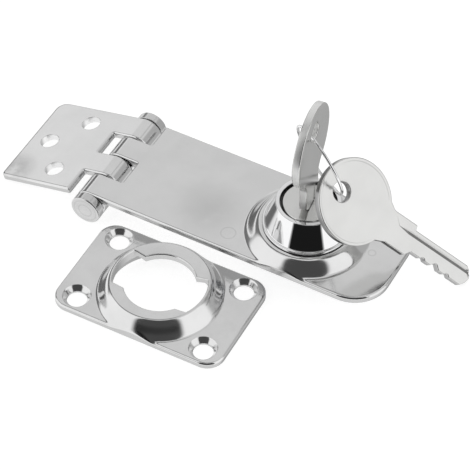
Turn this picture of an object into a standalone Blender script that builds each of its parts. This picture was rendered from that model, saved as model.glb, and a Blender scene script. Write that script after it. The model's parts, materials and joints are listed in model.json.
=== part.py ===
"""A keyed hasp latch with its strike plate and two keys, in metres with +Z up.

The latch lies on the plane z = 0 with its strap along +X. It stands on its hinge barrel, on the rear
end of its lock and on the far edge of its leaf. The strike plate lies in front of it. One key is in
the lock, and a wire ring joins it to a spare key, whose tip stands on the same plane.
"""

import math

import bmesh
import bpy
from mathutils import Matrix, Vector

MM = 0.001

# Sheet metal shared by the strap, the leaf and the strike plate
SHEET = 2.0 * MM
HASP_WIDTH = 32.0 * MM
GAP = 0.3 * MM

# Hinge
BARREL_RADIUS = 4.4 * MM
SLOT_CORNER_RADIUS = 0.4 * MM
PIN_CLEARANCE = 0.15 * MM
KNUCKLES = 4
SLOT_DEPTH = 5.8 * MM
CURL_END = math.radians(25)
PIN_HEAD_LENGTH = 2.5 * MM
PIN_HEAD_CHAMFER = 0.45 * MM

# Strap
STRAP_LENGTH = 85.2 * MM
STRAP_END_RADIUS = 10.0 * MM
LOCK_FROM_END = 26.9 * MM
LOCK_X = STRAP_LENGTH - LOCK_FROM_END

# Leaf
LEAF_LENGTH = 28.6 * MM
LEAF_BACK_RADIUS = 3.2 * MM
LEAF_FRONT_RADIUS = 1.2 * MM
LEAF_HOLE_RADIUS = 2.65 * MM
LEAF_SIDE_HOLE_X = 14.4 * MM
LEAF_SIDE_HOLE_Y = 9.9 * MM
LEAF_MIDDLE_HOLE_X = 22.3 * MM

# Domes pressed in the strap and in the strike plate
DOME_OVER_EDGE = 1.4 * MM
DOME_RADIUS = HASP_WIDTH / 2 + DOME_OVER_EDGE
DOME_FOOT_INSET = 2.4 * MM
DOME_TOP_INSET = 1.2 * MM
STRAP_DOME_RISE = 3.8 * MM
STRAP_DOME_TOP_RADIUS = 12.6 * MM
STRIKE_DOME_RISE = 4.9 * MM
STRIKE_DOME_FLANK = 4.5 * MM
STRIKE_LIP_DROP = 0.8 * MM

# Strike plate
STRIKE_LENGTH = 50.2 * MM
STRIKE_OVER_WIDTH = 0.1 * MM
STRIKE_WIDTH = HASP_WIDTH + STRIKE_OVER_WIDTH
STRIKE_CORNER_RADIUS = 5.0 * MM
STRIKE_HOLE_FROM_END = 6.1 * MM
STRIKE_HOLE_FROM_SIDE = 4.75 * MM
STRIKE_HOLE_RADIUS = 2.7 * MM
STRIKE_SINK_RADIUS = 3.9 * MM
STRIKE_NOTCH_INSET = 4.7 * MM
STRIKE_LIP_INSET = 7.7 * MM
STRIKE_NOTCH_HALF_ANGLE = math.radians(29)
STRIKE_LIP_HALF_ANGLE = math.radians(52)
STRIKE_FROM_PIN = 6.3 * MM
STRIKE_TURN = math.radians(0.65)

# Lock housing, from the rim of its cone downwards
RIM_HEIGHT = 20.9 * MM
RIM_RADIUS = 8.7 * MM
CONE_RADIUS = 11.5 * MM
FLANGE_RADIUS = 12.2 * MM
FLANGE_LENGTH = 0.6 * MM
CAST_EDGE = 0.25 * MM
BODY_RADIUS = 8.8 * MM
BODY_FLAT = 8.0 * MM
BODY_FOOT = 4.9 * MM
LOCK_TURN = math.radians(7.4)
TURN_RANGE = math.radians(90)

# Plug
PLUG_RADIUS = 6.0 * MM
PLUG_HEAD_RADIUS = 7.0 * MM
PLUG_HEAD_LENGTH = 1.6 * MM
PLUG_RECESS = 0.45 * MM
PLUG_CLEARANCE = 0.2 * MM
TAIL_RADIUS = 4.6 * MM
TAIL_FLAT = 3.5 * MM
CLIP_GROOVE_RADIUS = 4.1 * MM

# Wafers and their springs
WAFERS = 5
WAFER_PITCH = 2.2 * MM
WAFER_FROM_FOOT = 2.6 * MM
WAFER_THICKNESS = 1.1 * MM
WAFER_HALF_WIDTH = 3.4 * MM
WAFER_CLEARANCE = 0.12 * MM
WAFER_TRAVEL = 0.5 * MM
WINDOW_MARGIN = 0.6 * MM
SPRING_LEG = 2.0 * MM
SPRING_RADIUS = 0.5 * MM
SPRING_DEPTH_RADIUS = 0.4 * MM
SPRING_WIRE = 0.11 * MM
SPRING_TURNS = 4
SPRING_STEPS = 8
SPRING_LEDGE = 2.9 * MM
WAFER_SHOULDER = 2.2 * MM

# Pieces behind the lock
CAM_THICKNESS = 1.6 * MM
CAM_HUB_RADIUS = 6.4 * MM
CAM_WING_CLEARANCE = 0.9 * MM
CAM_WING_HALF_WIDTH = 4.0 * MM
STOP_THICKNESS = 0.7 * MM
STOP_RADIUS = 8.2 * MM
STOP_INNER_RADIUS = 6.9 * MM
STOP_LUG_HALF_ANGLE = math.radians(11)
CLIP_THICKNESS = 0.9 * MM
CLIP_PLAY = 0.15 * MM
CLIP_RADIUS = 6.2 * MM
CLIP_MOUTH = math.radians(80)
NUT_FLAT = 9.9 * MM
NUT_LENGTH = 2.4 * MM
NUT_CLEARANCE = 0.2 * MM
TOOTHED_WASHER_THICKNESS = 0.6 * MM
TOOTHED_WASHER_RADIUS = 11.2 * MM
WASHER_TOOTH_DEPTH = 0.9 * MM
WASHER_TEETH = 16

# Keys, in a frame at the bow's centre with X along the blade and Y towards its plain back
KEY_THICKNESS = 2.1 * MM
KEY_EDGE = 0.3 * MM
BOW_RADIUS = 11.5 * MM
BOW_BACK_EASE = math.radians(8)
BOW_FRONT_EASE = math.radians(6)
COLLAR_BACK_START = 0.6 * MM
COLLAR_FRONT_START = 1.2 * MM
KEY_HOLE_RADIUS = 2.75 * MM
KEY_HOLE_X = -5.0 * MM
SHOULDER_X = 20.4 * MM
SHOULDER_BEFORE = 0.6 * MM
SHOULDER_AFTER = 0.9 * MM
SHOULDER_LEAN = 0.2 * MM
COLLAR_BACK = 4.2 * MM
COLLAR_FRONT = 4.8 * MM
BLADE_BACK = 2.8 * MM
BLADE_FRONT = 3.1 * MM
KEY_TIP_X = 41.7 * MM
KEY_TIP_FRONT = 1.6 * MM
KEY_TIP_SLOPE = 0.6 * MM
KEY_TIP_LENGTH = 2.2 * MM
CUT_HALF_FLOOR = 0.35 * MM
CUT_DEPTHS = (0.55 * MM, 0.0, 1.15 * MM, 0.0, 0.55 * MM)
GROOVE_Y = 1.25 * MM
GROOVE_HALF_WIDTH = 0.6 * MM
GROOVE_DEPTH = 0.6 * MM
GROOVE_START_X = 14.5 * MM
GROOVE_RAMP = 4.0 * MM
GROOVE_PROUD = 0.4 * MM
GROOVE_START_HALF_WIDTH = 0.2 * MM
GROOVE_START_HEIGHT = 0.05 * MM
KEYWAY_CLEARANCE = 0.12 * MM
KEY_STAND_OFF = 1.15 * MM
SPARE_HEADING = math.radians(23.5)
SPARE_ROLL = math.radians(29.3)

# Wire ring through both keys
RING_RADIUS = 10.3 * MM
RING_WIRE = 0.4 * MM
RING_HEADING = math.radians(58.2)
RING_LEAN = math.radians(74.7)
RING_HUNG_AT = math.radians(176.8)
RING_CARRIES_AT = math.radians(-63.5)
WIRE_IN_LOCK_KEY = (1.37 * MM, -0.34 * MM)
WIRE_IN_SPARE_KEY = (0.69 * MM, 0.1 * MM)

# Steps in the round forms
ROUND_STEPS = 48
FINE_STEPS = 24
DOME_STEPS = 8
CORNER_STEPS = 6
CURL_STEPS = 22

STRIKE_DOME_TOP_RADIUS = DOME_RADIUS - STRIKE_DOME_FLANK
STRIKE_NOTCH_RADIUS = DOME_RADIUS - STRIKE_NOTCH_INSET
STRIKE_LIP_RADIUS = DOME_RADIUS - STRIKE_LIP_INSET
STRIKE_PLACE = (STRIKE_FROM_PIN + STRIKE_LENGTH / 2, -(HASP_WIDTH + STRIKE_WIDTH) / 2 - GAP)
CAM_WING_RADIUS = STRIKE_NOTCH_RADIUS - CAM_WING_CLEARANCE
PIN_HEIGHT = BARREL_RADIUS
STRAP_TOP = PIN_HEIGHT + BARREL_RADIUS
DOME_TOP = STRAP_TOP + STRAP_DOME_RISE
PIN_RADIUS = BARREL_RADIUS - SHEET - PIN_CLEARANCE
BLADE_MIDDLE = (BLADE_BACK - BLADE_FRONT) / 2
BLADE_HALF_HEIGHT = (BLADE_BACK + BLADE_FRONT) / 2
PLUG_FACE = RIM_HEIGHT - PLUG_RECESS
KEY_BOW_HEIGHT = PLUG_FACE + KEY_STAND_OFF + SHOULDER_X
LOWEST_WAFER = BODY_FOOT + WAFER_FROM_FOOT
FIRST_CUT_X = KEY_BOW_HEIGHT - LOWEST_WAFER - (WAFERS - 1) * WAFER_PITCH
CLIP_FOOT = 0.9 * MM
CAM_FOOT = CLIP_FOOT + CLIP_THICKNESS + GAP
STOP_FOOT = BODY_FOOT - PLUG_CLEARANCE - STOP_THICKNESS


def clear_scene():
    for thing in list(bpy.data.objects):
        bpy.data.objects.remove(thing, do_unlink=True)


def metal(name, colour, roughness):
    """A Principled BSDF metal."""
    made = bpy.data.materials.new(name)
    made.use_nodes = True
    shader = made.node_tree.nodes["Principled BSDF"]
    shader.inputs["Base Color"].default_value = (*colour, 1.0)
    shader.inputs["Metallic"].default_value = 1.0
    shader.inputs["Roughness"].default_value = roughness
    return made


def as_object(name, mesh_maker, finish=None, parent=None):
    """Turns a bmesh into an object; without a finish it is a hidden cutter."""
    bmesh.ops.recalc_face_normals(mesh_maker, faces=mesh_maker.faces[:])
    mesh = bpy.data.meshes.new(name)
    mesh_maker.to_mesh(mesh)
    mesh_maker.free()
    made = bpy.data.objects.new(name, mesh)
    bpy.context.scene.collection.objects.link(made)
    made.parent = parent
    if finish is None:
        made.hide_render = True
        made.display_type = "WIRE"
    else:
        mesh.materials.append(finish)
        mesh.shade_smooth()
        mesh.set_sharp_from_angle(angle=math.radians(30))
    return made


def empty(name, parent=None, matrix=None):
    made = bpy.data.objects.new(name, None)
    bpy.context.scene.collection.objects.link(made)
    made.parent = parent
    if matrix is not None:
        made.matrix_local = matrix
    return made


def boolean(target, tool, operation="DIFFERENCE"):
    step = target.modifiers.new(tool.name, "BOOLEAN")
    step.operation = operation
    step.object = tool
    step.solver = "EXACT"
    return step


def arc(centre, radius, start, end, steps):
    """Points along an arc, both ends included; the angles are in radians."""
    cx, cy = centre
    turn = (end - start) / steps
    return [
        (cx + radius * math.cos(start + turn * i), cy + radius * math.sin(start + turn * i))
        for i in range(steps + 1)
    ]


def prism(outline, low, high):
    """An outline in XY carried from z = low to z = high."""
    made = bmesh.new()
    bottom = [made.verts.new((x, y, low)) for x, y in outline]
    face = made.faces.new(bottom)
    grown = bmesh.ops.extrude_face_region(made, geom=[face])
    top = [item for item in grown["geom"] if isinstance(item, bmesh.types.BMVert)]
    bmesh.ops.translate(made, verts=top, vec=(0, 0, high - low))
    return made


def across(outline, half_width):
    """An outline in XZ carried along Y, half_width to each side."""
    made = prism(outline, -half_width, half_width)
    bmesh.ops.transform(made, matrix=Matrix.Rotation(math.radians(90), 4, "X"), verts=made.verts)
    return made


def turned(section, steps=ROUND_STEPS, middle=(0, 0)):
    """A closed section of (radius, height) points turned about a vertical axis."""
    made = bmesh.new()
    points = [made.verts.new((radius, 0, height)) for radius, height in section]
    edges = [made.edges.new((a, b)) for a, b in zip(points, points[1:] + points[:1])]
    bmesh.ops.spin(
        made, geom=points + edges, cent=(0, 0, 0), axis=(0, 0, 1), angle=math.tau, steps=steps
    )
    bmesh.ops.remove_doubles(made, verts=made.verts, dist=0.001 * MM)
    bmesh.ops.translate(made, verts=made.verts, vec=(*middle, 0))
    return made


def rod(radius, low, high, steps=FINE_STEPS, middle=(0, 0)):
    return prism(arc(middle, radius, 0, math.tau * (1 - 1 / steps), steps - 1), low, high)


def double_flat(radius, flat, steps=8):
    """A round outline with two flats, at x = flat and x = -flat."""
    lean = math.acos(flat / radius)
    right = arc((0, 0), radius, lean, math.pi - lean, steps)
    left = arc((0, 0), radius, math.pi + lean, math.tau - lean, steps)
    return right + left


def rounded(corners, steps=CORNER_STEPS):
    """A closed outline through ((x, y), radius) corners, each replaced by an arc of its radius."""
    outline = []
    for i, (corner, radius) in enumerate(corners):
        here = Vector(corner)
        if radius == 0:
            outline.append(tuple(here))
            continue
        before = (Vector(corners[i - 1][0]) - here).normalized()
        after = (Vector(corners[(i + 1) % len(corners)][0]) - here).normalized()
        half = before.angle(after) / 2
        middle = here + (before + after).normalized() * radius / math.sin(half)
        first = here + before * radius / math.tan(half) - middle
        last = here + after * radius / math.tan(half) - middle
        sweep = first.angle_signed(last)
        for k in range(steps + 1):
            turn = Matrix.Rotation(-sweep * k / steps, 2)
            outline.append(tuple(middle + turn @ first))
    return outline


def knuckle_ends(index):
    """The two ends along Y of one hinge knuckle, counted from the front."""
    pitch = HASP_WIDTH / KNUCKLES
    front = -HASP_WIDTH / 2 + pitch * index
    return (
        front + (GAP / 2 if index else 0),
        front + pitch - (GAP / 2 if index < KNUCKLES - 1 else 0),
    )


def rolled_sheet(length, side):
    """The XZ section of a plate at z = 0 whose end is rolled about the pin; side is 1 or -1 in X."""
    outer = arc((0, 0), BARREL_RADIUS, math.pi / 2, math.tau + CURL_END, CURL_STEPS)
    inner = arc((0, 0), BARREL_RADIUS - SHEET, math.tau + CURL_END, math.pi / 2, CURL_STEPS)
    top = (length, BARREL_RADIUS)
    bottom = (length, BARREL_RADIUS - SHEET)
    return [(side * x, z) for x, z in outer + inner + [bottom, top]]


def hinge_blank(length, side, corner_radii, own_knuckles):
    """The plan outline of a hinged plate: its knuckle tabs, the slots between them and its far end."""
    half = HASP_WIDTH / 2
    beyond = -BARREL_RADIUS - SHEET
    corners = []
    for index in reversed(range(KNUCKLES)):
        front, back = knuckle_ends(index)
        if index in own_knuckles:
            corners += [((beyond, back), 0), ((beyond, front), 0)]
        else:
            low = -half if index == 0 else front - GAP
            high = half if index == KNUCKLES - 1 else back + GAP
            corners += [
                ((SLOT_DEPTH, high), SLOT_CORNER_RADIUS),
                ((SLOT_DEPTH, low), SLOT_CORNER_RADIUS),
            ]
    front_radius, back_radius = corner_radii
    corners += [((length, -half), front_radius), ((length, half), back_radius)]
    if side < 0:
        corners = [((-x, y), radius) for (x, y), radius in reversed(corners)]
    return rounded(corners)


def dome_section(low, foot, rise, foot_radius, top_radius, lip=(0, 0)):
    """Half a dome's section: up from z = low, an S-shaped flank from its foot, then its top.

    The lip is the radius and the drop of a top that slopes down inwards.
    """
    flank = []
    for k in range(DOME_STEPS + 1):
        share = k / DOME_STEPS
        radius = foot_radius + (top_radius - foot_radius) * share
        flank.append((radius, foot + rise * (1 - math.cos(math.pi * share)) / 2))
    lip_radius, drop = lip
    top = [(lip_radius, foot + rise - drop), (0, foot + rise - drop)] if drop else [(0, foot + rise)]
    return [(0, low), (foot_radius, low), *flank, *top]


def press_dome(plate, place, rise, top_radius, underside, outline, lip=(0, 0)):
    """Presses a dome up through a sheet and trims its foot to the sheet's outline."""
    x, y = place
    form = dome_section(underside + SHEET / 2, underside + SHEET, rise, DOME_RADIUS, top_radius, lip)
    bulge = as_object(f"{plate.name}_bulge", turned(form, middle=place), parent=plate.parent)
    trim = prism(outline, underside - SHEET, underside + 4 * SHEET)
    boolean(bulge, as_object(f"{plate.name}_trim", trim, parent=plate.parent), "INTERSECT")
    boolean(plate, bulge, "UNION")
    inner_foot = DOME_RADIUS - DOME_FOOT_INSET
    inner_top = top_radius - DOME_TOP_INSET
    form = dome_section(underside - SHEET, underside, rise, inner_foot, inner_top, lip)
    hollow = as_object(f"{plate.name}_hollow", turned(form, middle=place), parent=plate.parent)
    boolean(plate, hollow)


def make_strap(finish, parent):
    """The strap: rolled knuckles, a pressed dome and a hole with two flats for the lock."""
    strap = as_object(
        "hasp_strap", across(rolled_sheet(STRAP_LENGTH + SHEET, 1), HASP_WIDTH), finish, parent
    )
    radii = (STRAP_END_RADIUS, STRAP_END_RADIUS)
    blank = hinge_blank(STRAP_LENGTH, 1, radii, own_knuckles=(0, 2))
    boolean(
        strap,
        as_object("strap_blank", prism(blank, -2 * BARREL_RADIUS, 2 * BARREL_RADIUS), parent=parent),
        "INTERSECT",
    )
    underside = BARREL_RADIUS - SHEET
    press_dome(strap, (LOCK_X, 0), STRAP_DOME_RISE, STRAP_DOME_TOP_RADIUS, underside, blank)
    hole = as_object(
        "strap_lock_hole",
        prism(double_flat(BODY_RADIUS + GAP, BODY_FLAT + GAP), 0, 4 * BARREL_RADIUS),
        parent=parent,
    )
    hole.location = (LOCK_X, 0, 0)
    boolean(strap, hole)
    return strap


def make_leaf(finish, parent):
    """The fixed leaf: two rolled knuckles and three plain screw holes."""
    leaf = as_object(
        "hinge_leaf", across(rolled_sheet(LEAF_LENGTH + SHEET, -1), HASP_WIDTH), finish, parent
    )
    radii = (LEAF_FRONT_RADIUS, LEAF_BACK_RADIUS)
    blank = hinge_blank(LEAF_LENGTH, -1, radii, own_knuckles=(1, 3))
    boolean(
        leaf,
        as_object("leaf_blank", prism(blank, -2 * BARREL_RADIUS, 2 * BARREL_RADIUS), parent=parent),
        "INTERSECT",
    )
    places = (
        (-LEAF_SIDE_HOLE_X, -LEAF_SIDE_HOLE_Y),
        (-LEAF_MIDDLE_HOLE_X, 0),
        (-LEAF_SIDE_HOLE_X, LEAF_SIDE_HOLE_Y),
    )
    for number, place in enumerate(places, 1):
        drill = rod(LEAF_HOLE_RADIUS, 0, 2 * BARREL_RADIUS, middle=place)
        boolean(leaf, as_object(f"leaf_drill_{number}", drill, parent=parent))
    return leaf


def make_pin(finish, parent):
    """The hinge pin, with a chamfered head at each end."""
    seat = HASP_WIDTH / 2 + GAP / 2
    end = seat + PIN_HEAD_LENGTH
    head = BARREL_RADIUS
    half = [
        (PIN_RADIUS, seat),
        (head, seat),
        (head, end - PIN_HEAD_CHAMFER),
        (head - PIN_HEAD_CHAMFER, end),
        (0, end),
    ]
    section = half + [(radius, -height) for radius, height in reversed(half)]
    pin = as_object("hinge_pin", turned(section, steps=48), finish, parent)
    pin.rotation_euler.x = math.radians(90)
    return pin


def strike_opening():
    """The strike's opening: two wide notches on its long axis and two lips between them."""
    outline = []
    for side in (0, math.pi):
        notch = STRIKE_NOTCH_HALF_ANGLE
        lip = STRIKE_LIP_HALF_ANGLE
        quarter = side + math.pi / 2
        outline += arc((0, 0), STRIKE_NOTCH_RADIUS, side - notch, side + notch, 12)
        outline += arc((0, 0), STRIKE_LIP_RADIUS, quarter - lip, quarter + lip, 16)
    return outline


def make_strike(finish, parent):
    """The strike plate: a domed ring with an opening for the lock's wings, and four sunk holes."""
    half_x, half_y = STRIKE_LENGTH / 2, STRIKE_WIDTH / 2
    corners = [(half_x, -half_y), (half_x, half_y), (-half_x, half_y), (-half_x, -half_y)]
    outline = rounded([(corner, STRIKE_CORNER_RADIUS) for corner in corners])
    strike = as_object("strike_plate", prism(outline, 0, SHEET), finish, parent)
    lip = (STRIKE_LIP_RADIUS, STRIKE_LIP_DROP)
    press_dome(strike, (0, 0), STRIKE_DOME_RISE, STRIKE_DOME_TOP_RADIUS, 0, outline, lip)
    opening = prism(strike_opening(), -SHEET, 5 * SHEET)
    boolean(strike, as_object("strike_cutter", opening, parent=parent))
    sink = [
        (0, -SHEET),
        (STRIKE_HOLE_RADIUS, -SHEET),
        (STRIKE_HOLE_RADIUS, 0.3 * SHEET),
        (STRIKE_SINK_RADIUS, SHEET),
        (STRIKE_SINK_RADIUS, 2 * SHEET),
        (0, 2 * SHEET),
    ]
    for number, (side_x, side_y) in enumerate(((-1, -1), (1, -1), (1, 1), (-1, 1)), 1):
        place = (
            side_x * (half_x - STRIKE_HOLE_FROM_END),
            side_y * (half_y - STRIKE_HOLE_FROM_SIDE),
        )
        drill = turned(sink, steps=FINE_STEPS, middle=place)
        boolean(strike, as_object(f"strike_drill_{number}", drill, parent=parent))
    return strike


def wafer_heights():
    """The height of each wafer's middle, where the key in the lock has its cuts."""
    return [KEY_BOW_HEIGHT - FIRST_CUT_X - WAFER_PITCH * i for i in range(WAFERS)]


def wafer_grooves():
    """A cutter for the two grooves that the wafers spring into, at both ends of the plug's turn."""
    low = wafer_heights()[-1] - WAFER_THICKNESS
    high = wafer_heights()[0] + WAFER_THICKNESS
    half = WAFER_HALF_WIDTH + 2 * WAFER_CLEARANCE
    reach = PLUG_RADIUS + WAFER_TRAVEL + WAFER_CLEARANCE
    outline = [(-half, 0), (0, -half), (half, 0), (half, reach), (-half, reach)]
    made = prism(outline, low, high)
    quarter = prism(outline, low, high)
    bmesh.ops.rotate(
        quarter, cent=(0, 0, 0), matrix=Matrix.Rotation(TURN_RANGE, 3, "Z"), verts=quarter.verts
    )
    return made, quarter


def make_housing(finish, parent):
    """The lock's die-cast housing: polished cone, flange and a body with two flats."""
    flange_foot = DOME_TOP + GAP
    flange_top = flange_foot + FLANGE_LENGTH
    edge = CAST_EDGE
    bore = PLUG_RADIUS + PLUG_CLEARANCE
    face_bore = PLUG_HEAD_RADIUS + PLUG_CLEARANCE
    head_seat = PLUG_FACE - PLUG_HEAD_LENGTH - PLUG_CLEARANCE
    section = [
        (bore, BODY_FOOT),
        (BODY_RADIUS - edge, BODY_FOOT),
        (BODY_RADIUS, BODY_FOOT + edge),
        (BODY_RADIUS, flange_foot),
        (FLANGE_RADIUS, flange_foot),
        (FLANGE_RADIUS, flange_top - edge),
        (FLANGE_RADIUS - edge, flange_top),
        (CONE_RADIUS, flange_top),
        (RIM_RADIUS, RIM_HEIGHT - edge),
        (RIM_RADIUS - edge, RIM_HEIGHT),
        (face_bore + edge, RIM_HEIGHT),
        (face_bore, RIM_HEIGHT - edge),
        (face_bore, head_seat),
        (bore, head_seat),
    ]
    housing = as_object("lock_housing", turned(section), finish, parent)
    for side in (-1, 1):
        near, far = side * BODY_FLAT, side * (BODY_RADIUS + MM)
        half = BODY_RADIUS + MM
        outline = [(near, -half), (far, -half), (far, half), (near, half)]
        flat = prism(outline, 0, flange_foot)
        name = "housing_flat_right" if side > 0 else "housing_flat_left"
        boolean(housing, as_object(name, flat, parent=parent))
    for name, groove in zip(("housing_groove_start", "housing_groove_end"), wafer_grooves()):
        cutter = as_object(name, groove, parent=parent)
        cutter.rotation_euler.z = LOCK_TURN
        boolean(housing, cutter)
    lug = stop_lug()
    lug.parent = parent
    boolean(housing, lug, "UNION")
    return housing


def ring_sector(inner, outer, start, end, steps):
    """The outline of part of a flat ring."""
    return arc((0, 0), outer, start, end, steps) + arc((0, 0), inner, end, start, steps)


def stop_lug():
    """The lug under the housing that ends the plug's turn against the stop washer."""
    inner = STOP_INNER_RADIUS + GAP
    outline = ring_sector(
        inner, BODY_FLAT - GAP, -STOP_LUG_HALF_ANGLE, STOP_LUG_HALF_ANGLE, 6
    )
    lug = as_object("housing_lug", prism(outline, STOP_FOOT, BODY_FOOT + MM))
    lug.rotation_euler.z = LOCK_TURN + math.pi
    return lug


def keyway(low, high):
    """A cutter for the keyway: a slot with a rib that runs in the blade's groove."""
    half = KEY_THICKNESS / 2 + KEYWAY_CLEARANCE
    reach = BLADE_HALF_HEIGHT + KEYWAY_CLEARANCE
    rib_middle = GROOVE_Y - BLADE_MIDDLE
    rib_half = GROOVE_HALF_WIDTH - 2 * KEYWAY_CLEARANCE
    rib_top = half - GROOVE_DEPTH + KEYWAY_CLEARANCE
    outline = [
        (-half, -reach),
        (half, -reach),
        (half, rib_middle - rib_half),
        (rib_top, rib_middle),
        (half, rib_middle + rib_half),
        (half, reach),
        (-half, reach),
    ]
    return prism(outline, low, high)


def make_plug(finish, parent):
    """The plug that the key turns, in the parent's frame: X across the key, Y up its blade."""
    head_foot = PLUG_FACE - PLUG_HEAD_LENGTH
    groove_low = CLIP_FOOT - CLIP_PLAY
    groove_high = CLIP_FOOT + CLIP_THICKNESS + CLIP_PLAY
    body_foot = STOP_FOOT + STOP_THICKNESS + PLUG_CLEARANCE
    section = [
        (0, 0),
        (TAIL_RADIUS, 0),
        (TAIL_RADIUS, groove_low),
        (CLIP_GROOVE_RADIUS, groove_low),
        (CLIP_GROOVE_RADIUS, groove_high),
        (TAIL_RADIUS, groove_high),
        (TAIL_RADIUS, body_foot),
        (PLUG_RADIUS, body_foot),
        (PLUG_RADIUS, head_foot),
        (PLUG_HEAD_RADIUS, head_foot),
        (PLUG_HEAD_RADIUS, PLUG_FACE - CAST_EDGE),
        (PLUG_HEAD_RADIUS - CAST_EDGE, PLUG_FACE),
        (0, PLUG_FACE),
    ]
    plug = as_object("lock_plug", turned(section, steps=48), finish, parent)
    for side in (-1, 1):
        near, far = side * TAIL_FLAT, side * 2 * TAIL_RADIUS
        outline = [(near, -PLUG_RADIUS), (far, -PLUG_RADIUS), (far, PLUG_RADIUS), (near, PLUG_RADIUS)]
        name = "tail_flat_right" if side > 0 else "tail_flat_left"
        boolean(plug, as_object(name, prism(outline, -MM, body_foot), parent=parent))
    boolean(plug, as_object("keyway_cutter", keyway(-MM, PLUG_FACE + MM), parent=parent))
    half = WAFER_HALF_WIDTH + WAFER_CLEARANCE
    step = SPRING_LEG + WAFER_CLEARANCE
    reach = 2 * PLUG_RADIUS
    slot = [
        (-half, -reach),
        (step, -reach),
        (step, -SPRING_LEDGE),
        (half, -SPRING_LEDGE),
        (half, reach),
        (-half, reach),
    ]
    for number, height in enumerate(wafer_heights(), 1):
        gap = WAFER_THICKNESS / 2 + WAFER_CLEARANCE
        cutter = prism(slot, height - gap, height + gap)
        boolean(plug, as_object(f"wafer_slot_{number}", cutter, parent=parent))
    return plug


def wafer_outline():
    """A wafer's outline: round ends to match the plug and a shoulder for its spring."""
    radius = PLUG_RADIUS - WAFER_CLEARANCE
    half = WAFER_HALF_WIDTH
    top_right = math.acos(half / radius)
    bottom_leg = -math.acos(SPRING_LEG / radius)
    upper = arc((0, 0), radius, top_right, math.pi - top_right, 8)
    lower = arc((0, 0), radius, math.pi + top_right, math.tau + bottom_leg, 8)
    return upper + lower + [(SPRING_LEG, WAFER_SHOULDER), (half, WAFER_SHOULDER)]


def make_wafer(number, height, finish, parent):
    """One wafer, with the window that the key's blade passes through."""
    half = WAFER_THICKNESS / 2
    wafer = as_object(f"wafer_{number}", prism(wafer_outline(), -half, half), finish, parent)
    wafer.location.z = height
    across_blade = KEY_THICKNESS / 2 + 2 * KEYWAY_CLEARANCE
    back = BLADE_HALF_HEIGHT + 2 * KEYWAY_CLEARANCE
    front = -BLADE_HALF_HEIGHT - WINDOW_MARGIN
    outline = [
        (-across_blade, front),
        (across_blade, front),
        (across_blade, back),
        (-across_blade, back),
    ]
    window = as_object(f"wafer_window_{number}", prism(outline, -MM, MM), parent=parent)
    window.location.z = height
    boolean(wafer, window)
    return wafer


def make_spring(number, height, finish, parent):
    """The coil spring between the plug's ledge and a wafer's shoulder."""
    low = -SPRING_LEDGE + GAP + SPRING_WIRE
    high = WAFER_SHOULDER - GAP - SPRING_WIRE
    steps = SPRING_STEPS * SPRING_TURNS
    curve = bpy.data.curves.new(f"wafer_spring_{number}", "CURVE")
    curve.dimensions = "3D"
    curve.bevel_depth = SPRING_WIRE
    curve.bevel_resolution = 0
    curve.use_fill_caps = True
    line = curve.splines.new("POLY")
    line.points.add(steps)
    for i, point in enumerate(line.points):
        turn = math.tau * SPRING_TURNS * i / steps
        along = low + (high - low) * i / steps
        point.co = (
            (WAFER_HALF_WIDTH + SPRING_LEG) / 2 + SPRING_RADIUS * math.cos(turn),
            along,
            SPRING_DEPTH_RADIUS * math.sin(turn),
            1,
        )
    curve.materials.append(finish)
    spring = bpy.data.objects.new(f"wafer_spring_{number}", curve)
    bpy.context.scene.collection.objects.link(spring)
    spring.parent = parent
    spring.location.z = height
    return spring


def tail_hole(target, name, parent):
    """Cuts the hole that seats a flat piece on the plug's tail."""
    outline = double_flat(TAIL_RADIUS + PLUG_CLEARANCE, TAIL_FLAT + PLUG_CLEARANCE)
    boolean(target, as_object(name, prism(outline, 0, BODY_FOOT + MM), parent=parent))


def make_cam(finish, parent):
    """The cam: a hub with two wings that turn under the strike's lips."""
    half = CAM_WING_HALF_WIDTH
    hub = math.asin(half / CAM_HUB_RADIUS)
    tip = math.asin(half / CAM_WING_RADIUS)
    outline = []
    for side in (0, math.pi):
        outline += arc((0, 0), CAM_WING_RADIUS, side - tip, side + tip, 8)
        outline += arc((0, 0), CAM_HUB_RADIUS, side + hub, side + math.pi - hub, 10)
    cam = as_object("cam_plate", prism(outline, CAM_FOOT, CAM_FOOT + CAM_THICKNESS), finish, parent)
    tail_hole(cam, "cam_hole", parent)
    return cam


def make_stop_washer(finish, parent):
    """The washer that turns with the plug and meets the housing's lug at both ends of the turn."""
    clear = STOP_LUG_HALF_ANGLE + GAP / STOP_INNER_RADIUS
    start = math.pi + clear
    end = math.pi - TURN_RANGE - clear + math.tau
    outline = arc((0, 0), STOP_RADIUS, start, end, 32)
    outline += arc((0, 0), STOP_INNER_RADIUS, end, start + math.tau, 16)
    washer = as_object(
        "stop_washer", prism(outline, STOP_FOOT, STOP_FOOT + STOP_THICKNESS), finish, parent
    )
    tail_hole(washer, "stop_hole", parent)
    return washer


def make_clip(finish, parent):
    """The spring clip in the tail's groove, which keeps the cam and the plug in place."""
    inner = CLIP_GROOVE_RADIUS + PLUG_CLEARANCE
    half = CLIP_MOUTH / 2
    outline = ring_sector(inner, CLIP_RADIUS, half, math.tau - half, 28)
    return as_object(
        "tail_clip", prism(outline, CLIP_FOOT, CLIP_FOOT + CLIP_THICKNESS), finish, parent
    )


def make_nut(finish, parent):
    """The six-sided nut that clamps the housing to the strap."""
    washer_foot = DOME_TOP - SHEET - GAP - TOOTHED_WASHER_THICKNESS
    top = washer_foot - GAP
    corner = NUT_FLAT / math.cos(math.radians(30))
    outline = arc((0, 0), corner, 0, math.radians(300), 5)
    nut = as_object("lock_nut", prism(outline, top - NUT_LENGTH, top), finish, parent)
    hole = rod(BODY_RADIUS + NUT_CLEARANCE, 0, DOME_TOP, steps=48)
    boolean(nut, as_object("nut_hole", hole, parent=parent))
    return nut


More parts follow.
